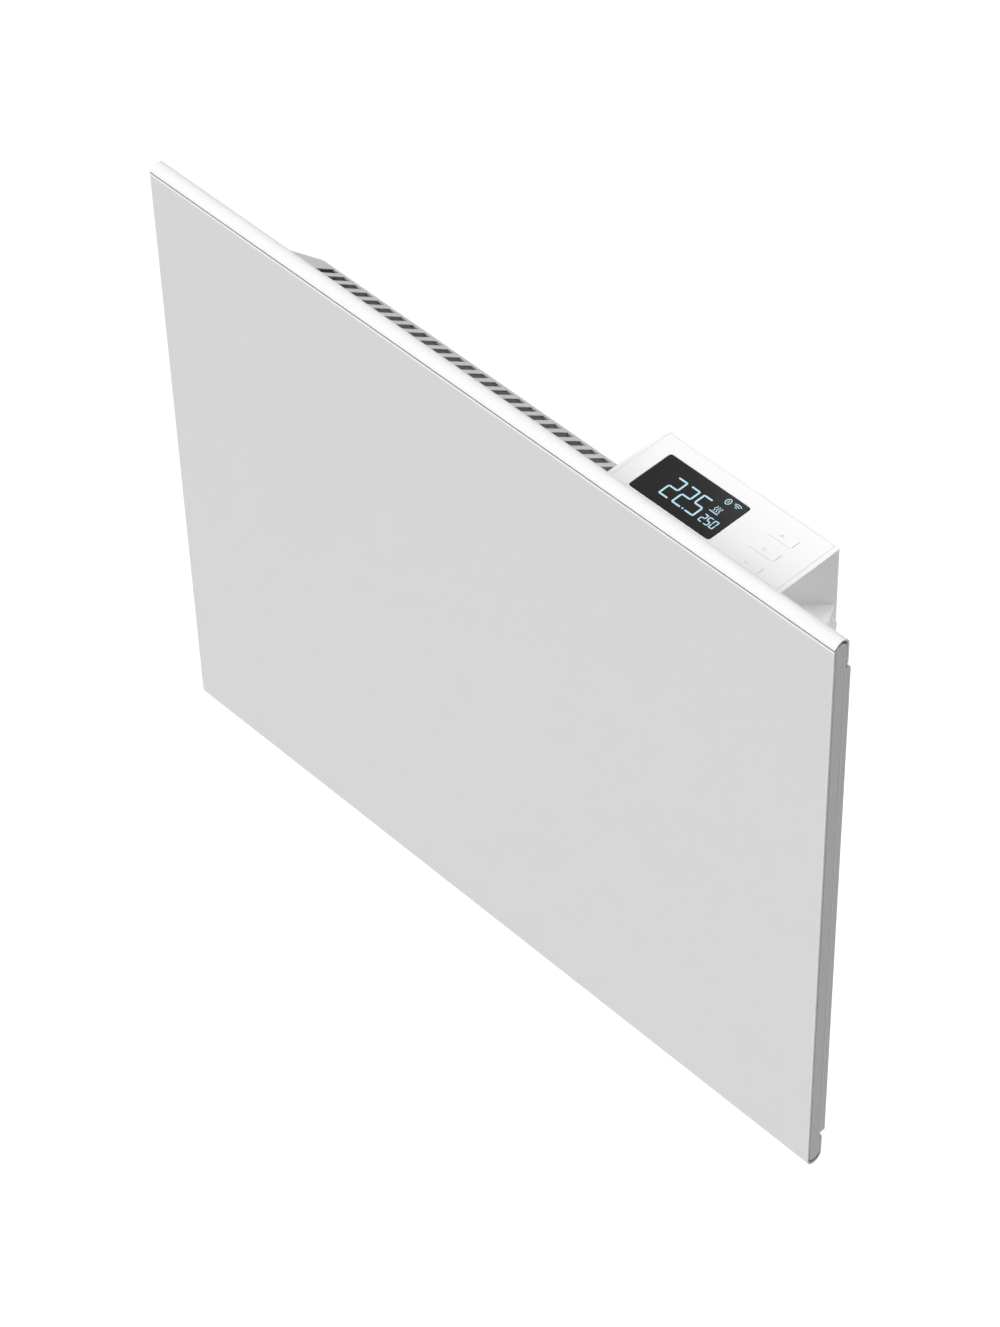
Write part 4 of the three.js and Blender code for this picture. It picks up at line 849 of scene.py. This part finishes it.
# %% Hook holes and the room for the housing
HOOK_X = 95.75
HOOK_HALF = 2.25
HOOK_TOPS = (72.0, -78.02)
HOOK_RUN = 22.3
CLEARANCE = 0.3
on_rear = lambda f: f.normal.y > 0.9 and centre(f).y > back(CASING_REAR) - NEAR
for side in (-1, 1):
    for edge in (-HOOK_HALF, HOOK_HALF):
        cut(casing, on_rear, ((side * HOOK_X + edge) * MM, 0, 0), (1, 0, 0))
column = lambda f: on_rear(f) and abs(abs(centre(f).x) - HOOK_X * MM) < HOOK_HALF * MM
for top in HOOK_TOPS:
    for z in (top + CLEARANCE, top - HOOK_RUN):
        cut(casing, column, (0, 0, z * MM), (0, 0, 1))
in_hole = lambda f: column(f) and any(
    (top - HOOK_RUN) * MM < centre(f).z < (top + CLEARANCE) * MM for top in HOOK_TOPS
)
print("hook holes cut:", pick(casing, "FACE", in_hole))
bpy.ops.mesh.delete(type="FACE")
housing_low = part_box("control_housing")[0]
ROOM_X = housing_low.x / MM - CLEARANCE
ROOM_Z = housing_low.z / MM - CLEARANCE
cut(casing, lambda f: True, (ROOM_X * MM, 0, 0), (1, 0, 0))
cut(casing, lambda f: True, (0, 0, ROOM_Z * MM), (0, 0, 1))
pick(casing, "FACE", lambda f: centre(f).x > ROOM_X * MM and centre(f).z > ROOM_Z * MM)
bpy.ops.mesh.delete(type="FACE")

# %% [markdown]
# The real slots are pressed, so the bars between them have soft round shoulders. The open edges of
# the slots are drawn a little inwards, and the bends that this makes are bevelled.

# %% Pressed slot edges
PRESS_DEPTH = 0.4
SHOULDER = 0.15
WALL_MARGIN = 1


def is_slot_edge(e):
    """True for the open edges around the air slots."""
    if not e.is_boundary:
        return False
    place = centre(e)
    depth = (place.y - FACE_Y) / MM
    in_band = SLOT_FRONT - 0.5 < depth < SLOT_REAR + 0.5
    if not in_band or abs(place.z) < (REAR_Z + WALL_MARGIN) * MM:
        return False
    row = slot_rows[1 if place.z > 0 else -1]
    return any((x - 0.1) * MM < place.x < (x + SLOT_WIDTH + 0.1) * MM for x in row)


def is_shoulder(e):
    """True for the bends between the slope and the pressed edges of its slots."""
    if len(e.link_faces) != 2 or e.calc_face_angle(0) <= 1.2:
        return False
    place = centre(e)
    in_band = back(SLOT_FRONT - 0.5) < place.y < back(SLOT_REAR + 0.5)
    on_skin = any(
        abs(f.normal.z) > 0.5 and f.normal.y > 0.3 and f.calc_area() > 1e-5 for f in e.link_faces
    )
    return in_band and on_skin and abs(place.z) > (REAR_Z + WALL_MARGIN) * MM


slope_out = Vector((0, SLOPE, 1)).normalized()
for way in (1, -1):
    pick(casing, "EDGE", lambda e: is_slot_edge(e) and centre(e).z * way > 0)
    extrude(y=-slope_out.y * PRESS_DEPTH * MM, z=-way * slope_out.z * PRESS_DEPTH * MM)
print("shoulder edges:", pick(casing, "EDGE", is_shoulder))
bpy.ops.mesh.bevel(offset=SHOULDER * MM, segments=2, affect="EDGES", clamp_overlap=True)

# %% Thickness of the casing
take(casing)
modify(casing, "SOLIDIFY", thickness=SHEET * MM, offset=-1, use_even_offset=True)
round_edges(casing, 0.12, 1, 50)
done(casing, "casing_paint", "root", "rear_casing")

# %% [markdown]
# ## The control housing
# The housing and its lid are moulded, so every edge is a small radius that catches the light. Their
# shapes are right in the solid model, so each is copied from it, its loose triangles are merged
# into clean flat faces, and a Bevel modifier rounds the edges. Around the lid the real edges are
# crisp, and the lid fits so tightly that its seam is a hairline. In the solid model that seam is a
# clearance between two parts, so the lid's sides are drawn out until it nearly closes.

# %% Housing and lid
LID_GROWTH = 0.2
lid_low, lid_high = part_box("control_top_cover")


def near_lid(e):
    """True for the edges of the housing around the lid and inside it."""
    place = centre(e)
    in_x = lid_low.x - 1 * MM < place.x < lid_high.x + 1 * MM
    return in_x and lid_low.y - 1 * MM < place.y < lid_high.y + 0.8 * MM


refined("control_housing", 0.6, 4, fine=near_lid)
lid = refined("control_top_cover", 0.05, 1)
for x, y, at_side in (
    (-LID_GROWTH, 0, lambda v: v.co.x < lid_low.x + NEAR),
    (LID_GROWTH, 0, lambda v: v.co.x > lid_high.x - NEAR),
    (0, -LID_GROWTH, lambda v: v.co.y < lid_low.y + NEAR),
    (0, LID_GROWTH, lambda v: v.co.y > lid_high.y - NEAR),
):
    pick(lid, "VERT", at_side)
    shove(x=x * MM, y=y * MM)
take(lid)

# %% [markdown]
# The wall bracket is folded steel with small radii. The mains switch sits in the sloping side of
# the housing. Its frame and rocker hardly stand out there, so the corners that lie proud of the
# slope are pushed back along the slope's normal, each by its own drop.

# %% Bracket and mains switch
refined("wall_bracket", 0.3, 2)
switch_out = Vector((1, SLOPE, 0)).normalized()
slope_foot = Vector((FOOT_X * MM, back(CASING_FOOT), 0))
for name, body, width, limit, drop in (
    ("switch_body", "root", 0.25, 0.4, 1.1),
    ("switch_rocker", "switch_rocker", 0.4, 0.2, 1.0),
):
    piece = refined(name, width, 3, body=body)
    pick(piece, "VERT", lambda v: (v.co - slope_foot).dot(switch_out) > limit * MM)
    shove(*(-switch_out * drop * MM))
    take(piece)

# %% [markdown]
# ## The display
# A flush black glass lies in the lid. Its corners are rounded with a vertex bevel before it gets
# its thickness, and its upper edge is softened.

# %% Display glass
GLASS_CORNER = 0.8
glass_low, glass_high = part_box("display_window")
glass_middle = (glass_low + glass_high) / 2
take(None)
bpy.ops.mesh.primitive_plane_add(size=1, location=(glass_middle.x, glass_middle.y, glass_high.z))
bpy.context.object.scale = (glass_high.x - glass_low.x, glass_high.y - glass_low.y, 1)
glass = settle("display_glass")
pick(glass, "VERT")
bpy.ops.mesh.bevel(offset=GLASS_CORNER * MM, segments=6, affect="VERTICES")
pick(glass, "FACE")
extrude(z=glass_low.z - glass_high.z)
take(glass)
clean(glass)
round_edges(glass, 0.2, 3)
done(glass, "black_glass", "root", "display_window")

# %% [markdown]
# The digits and signs are thin plates that glow in a pale blue. When a display is off its segments
# are dark, so the plates have a dim colour of their own and the blue comes from emission.

# %% Light of the digits
glow = bpy.data.materials.new("pale_blue_light")
glow.use_nodes = True
tree = glow.node_tree
shader = tree.nodes["Principled BSDF"]
shader.inputs["Roughness"].default_value = 0.5
shader.inputs["Emission Strength"].default_value = 0.8
spots = noise(tree, tree.nodes.new("ShaderNodeTexCoord").outputs["Object"], 700)
blue = ramp(tree, spots, (0.45, 0.76, 0.9), (0.62, 0.9, 1.0))
tree.links.new(blue, shader.inputs["Emission Color"])
tree.links.new(scaled(tree, blue, 0.12), shader.inputs["Base Color"])
print("glow:", glow.name)

# %% [markdown]
# Each digit has the seven bars of a segment display, and a table says which of them are lit. A bar
# is a plane with cut corners. Its place is given as X and as depth behind the front face, in
# millimetres, like everything on the lid. All bars and signs become one piece at the end.

# %% Helpers for bars and digits
LIT = {"0": "abcdef", "2": "abged", "5": "afgcd"}
SIGN_Z = glass_high.z / MM + 0.03
signs = []


def bar(x, depth, length, width, upright=False):
    """One flat bar of light with cut corners, centred on a place of the glass."""
    take(None)
    bpy.ops.mesh.primitive_plane_add(size=1, location=(x * MM, back(depth), SIGN_Z * MM))
    size = (width, length) if upright else (length, width)
    bpy.context.object.scale = (size[0] * MM, size[1] * MM, 1)
    piece = settle("bar")
    pick(piece, "VERT")
    bpy.ops.mesh.bevel(offset=width * 0.35 * MM, segments=1, affect="VERTICES")
    signs.append(take(piece))


def digit(number, left, right, top, bottom, stroke):
    """A digit of seven bars, lit where the number asks for it. Its top is the side far behind."""
    middle = (top + bottom) / 2
    wide, tall = right - left, (top - bottom) / 2
    flat = ((left + right) / 2, wide - stroke, False)
    rise = (tall - stroke * 0.5, True)
    bars = {
        "a": (flat[0], top - stroke / 2, *flat[1:]),
        "d": (flat[0], bottom + stroke / 2, *flat[1:]),
        "g": (flat[0], middle, *flat[1:]),
        "f": (left + stroke / 2, (top + middle) / 2, *rise),
        "b": (right - stroke / 2, (top + middle) / 2, *rise),
        "e": (left + stroke / 2, (bottom + middle) / 2, *rise),
        "c": (right - stroke / 2, (bottom + middle) / 2, *rise),
    }
    for name in LIT[number]:
        x, depth, length, upright = bars[name]
        bar(x, depth, length, stroke, upright)


# %% Digits
DIGIT_FOOT = 39.3
for top, stroke, row in (
    (54.3, 1.0, (("2", 88.0, 94.7), ("2", 96.7, 103.2), ("5", 105.2, 111.6))),
    (45.3, 0.62, (("2", 114.5, 117.3), ("5", 118.0, 120.8), ("0", 121.5, 124.3))),
):
    for number, left, right in row:
        digit(number, left, right, top, DIGIT_FOOT, stroke)
bar(104.2, 39.9, 1.1, 1.1)
bar(116.8, 48.4, 5.6, 0.6)
print("bars of light:", len(signs))

# %% [markdown]
# Three signs stand beside the digits: wavy lines of rising warmth, an oval with a stroke, and three
# arcs. The oval and the arcs are discs whose inset leaves a ring, which planes can cut back to an
# arc. A wave is a narrow grid whose rows are pushed aside in turn.

# %% Helpers for signs
WAVE_ROWS = 9
WAVE_SWING = 0.35


def ring(x, depth, wide, tall, stroke, cut_back=()):
    """A ring of light. The normals in cut_back are those of planes that leave an arc of it."""
    take(None)
    bpy.ops.mesh.primitive_circle_add(
        vertices=32, radius=0.5, fill_type="NGON", location=(x * MM, back(depth), SIGN_Z * MM)
    )
    bpy.context.object.scale = (wide * MM, tall * MM, 1)
    piece = settle("ring")
    pick(piece, "FACE")
    bpy.ops.mesh.inset(thickness=stroke * MM)
    bpy.ops.mesh.delete(type="FACE")
    for normal in cut_back:
        cut(piece, lambda f: True, (x * MM, back(depth), 0), normal, clear_inner=True)
    signs.append(take(piece))


def wave(x, depth, length, stroke):
    """A wavy line that runs away from the front."""
    take(None)
    bpy.ops.mesh.primitive_grid_add(
        x_subdivisions=1,
        y_subdivisions=WAVE_ROWS,
        size=1,
        location=(x * MM, back(depth), SIGN_Z * MM),
    )
    bpy.context.object.scale = (stroke * MM, length * MM, 1)
    piece = settle("wave")
    low = back(depth) - length * MM / 2
    for row in range(WAVE_ROWS + 1):
        place = low + row * length * MM / WAVE_ROWS
        pick(piece, "VERT", lambda v: abs(v.co.y - place) < length * MM / 30)
        shove(x=WAVE_SWING * MM * math.sin(row * math.pi / 3))
    signs.append(take(piece))


# %% Signs
SIGN_STROKE = 0.5
for x in (115.6, 117.1, 118.6):
    wave(x, 51.2, 4.0, SIGN_STROKE)
ring(117.0, 58.8, 3.3, 4.4, SIGN_STROKE)
bar(117.0, 58.9, 1.9, SIGN_STROKE, upright=True)
for size in (2.2, 4.6, 7.0):
    ring(122.5, 57.4, size, size, SIGN_STROKE, cut_back=((1, 1, 0), (-1, 1, 0)))
display = joined("display_segments", signs)
pick(display, "FACE")
extrude(z=-0.1 * MM)
take(display)
clean(display)
done(display, "black_glass", "root", finish=glow)

# %% [markdown]
# ## The buttons
# Three keys stand a little above the lid. A key is a block with rounded upright corners and a
# shallow dish on top, where the finger goes: two insets make the rim and the dish, whose floor is
# pushed down. One key is modelled, and the others are copies of it.

# %% Keys
KEY_FLANGE = 1.05
KEY_CORNER = 0.9
DISH_DEPTH = 0.15


def block(name, low, high):
    """A box between two corners."""
    take(None)
    bpy.ops.mesh.primitive_cube_add(size=1, location=(low + high) / 2)
    bpy.context.object.scale = high - low
    return settle(name)


def copied(piece, name, move):
    """A copy of a piece with its own mesh, set a step further on."""
    other = bpy.data.objects.new(name, piece.data.copy())
    other.data.name = name
    scene.collection.objects.link(other)
    take(other)
    other.location = move
    bpy.ops.object.transform_apply(location=True, rotation=False, scale=False)
    return other


low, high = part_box("button_plus")
edge = Vector((KEY_FLANGE * MM, KEY_FLANGE * MM, 0))
first_key = block("key_plus", low + edge, high - edge)
pick(first_key, "EDGE", lambda e: abs(e.verts[0].co.z - e.verts[1].co.z) > 1 * MM)
bpy.ops.mesh.bevel(offset=KEY_CORNER * MM, segments=5, affect="EDGES")
pick(first_key, "FACE", lambda f: f.normal.z > 0.9)
bpy.ops.mesh.inset(thickness=0.3 * MM)
bpy.ops.mesh.inset(thickness=0.5 * MM)
shove(z=-DISH_DEPTH * MM)
take(first_key)
round_edges(first_key, FINE_ROUND, 2, 60)
keys = {"plus": first_key}
for name in ("ok", "minus"):
    keys[name] = copied(first_key, "key_" + name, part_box("button_" + name)[0] - low)
for name, piece in keys.items():
    done(piece, "button_plastic", "button_" + name, "button_" + name, angle=40)

# %% [markdown]
# Pale grey marks are printed in the dishes: a plus, two short lines and a minus. Print has almost
# no height, so each stroke is a plane just above the floor of the dish, drawn down into it.

# %% Marks on the keys
PRINT_RISE = 0.03
PRINT_DEPTH = 0.08
STROKE = 0.35
MARKS = {
    "plus": ((0, 2.4, STROKE), (0.7, STROKE, 1.0), (-0.7, STROKE, 1.0)),
    "ok": ((0.6, 1.8, STROKE), (-0.6, 1.8, STROKE)),
    "minus": ((0, 2.2, STROKE),),
}
mark_print = grainy("pale_grey_print", grey(0.6), grey(0.56), (0.5, 0.6), 900, 0.02)
for name, strokes in MARKS.items():
    low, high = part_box("button_" + name)
    middle = (low + high) / 2
    planes = []
    for y, length, width in strokes:
        z = high.z - (DISH_DEPTH - PRINT_RISE) * MM
        take(None)
        bpy.ops.mesh.primitive_plane_add(
            size=1, location=(middle.x - 0.5 * MM, middle.y + y * MM, z)
        )
        bpy.context.object.scale = (length * MM, width * MM, 1)
        planes.append(settle("stroke"))
    mark = joined("mark_" + name, planes)
    pick(mark, "FACE")
    extrude(z=-PRINT_DEPTH * MM)
    take(mark)
    clean(mark)
    done(mark, "button_plastic", "button_" + name, finish=mark_print)

# %% [markdown]
# ## Screws
# Pan-head screws hold the casing and the housing from behind. Each keeps the shape it has in the
# solid model, with a rounded head, and gets its cross recess from two crossed blocks: a Boolean
# modifier takes them away from the head, as the punch of the screw maker would.

# %% Screws
CROSS_LONG = 1.6
CROSS_WIDE = 0.3
CROSS_DEPTH = 0.9
screw_names = [n for n in frame["nodes"] if n.startswith(("casing_screw", "housing_screw"))]
for name in screw_names:
    screw = refined(name, 0.3, 3)
    low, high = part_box(name)
    middle = (low + high) / 2
    for x, z in ((CROSS_LONG, CROSS_WIDE), (CROSS_WIDE, CROSS_LONG)):
        tool = block(
            "cross_tool",
            Vector((middle.x - x * MM, high.y - CROSS_DEPTH * MM, middle.z - z * MM)),
            Vector((middle.x + x * MM, high.y + 1 * MM, middle.z + z * MM)),
        )
        modify(screw, "BOOLEAN", operation="DIFFERENCE", object=tool)
        bpy.data.objects.remove(tool)
print("screws with a cross recess:", len(screw_names))

# %% [markdown]
# ## Small hardware
# The bush where the cable enters, the rubber spacers and the heating fins keep their shapes and
# only get soft edges.

# %% Small hardware
for name in ("cable_inlet_bush", "wall_spacer_left", "wall_spacer_right", "heating_fins"):
    refined(name, 0.25, 2)

# %% [markdown]
# ## The end
# The box around everything is printed.

# %% Sizes at the end
low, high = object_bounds()
print("with the pieces:", [round(v, 4) for v in low], [round(v, 4) for v in high])
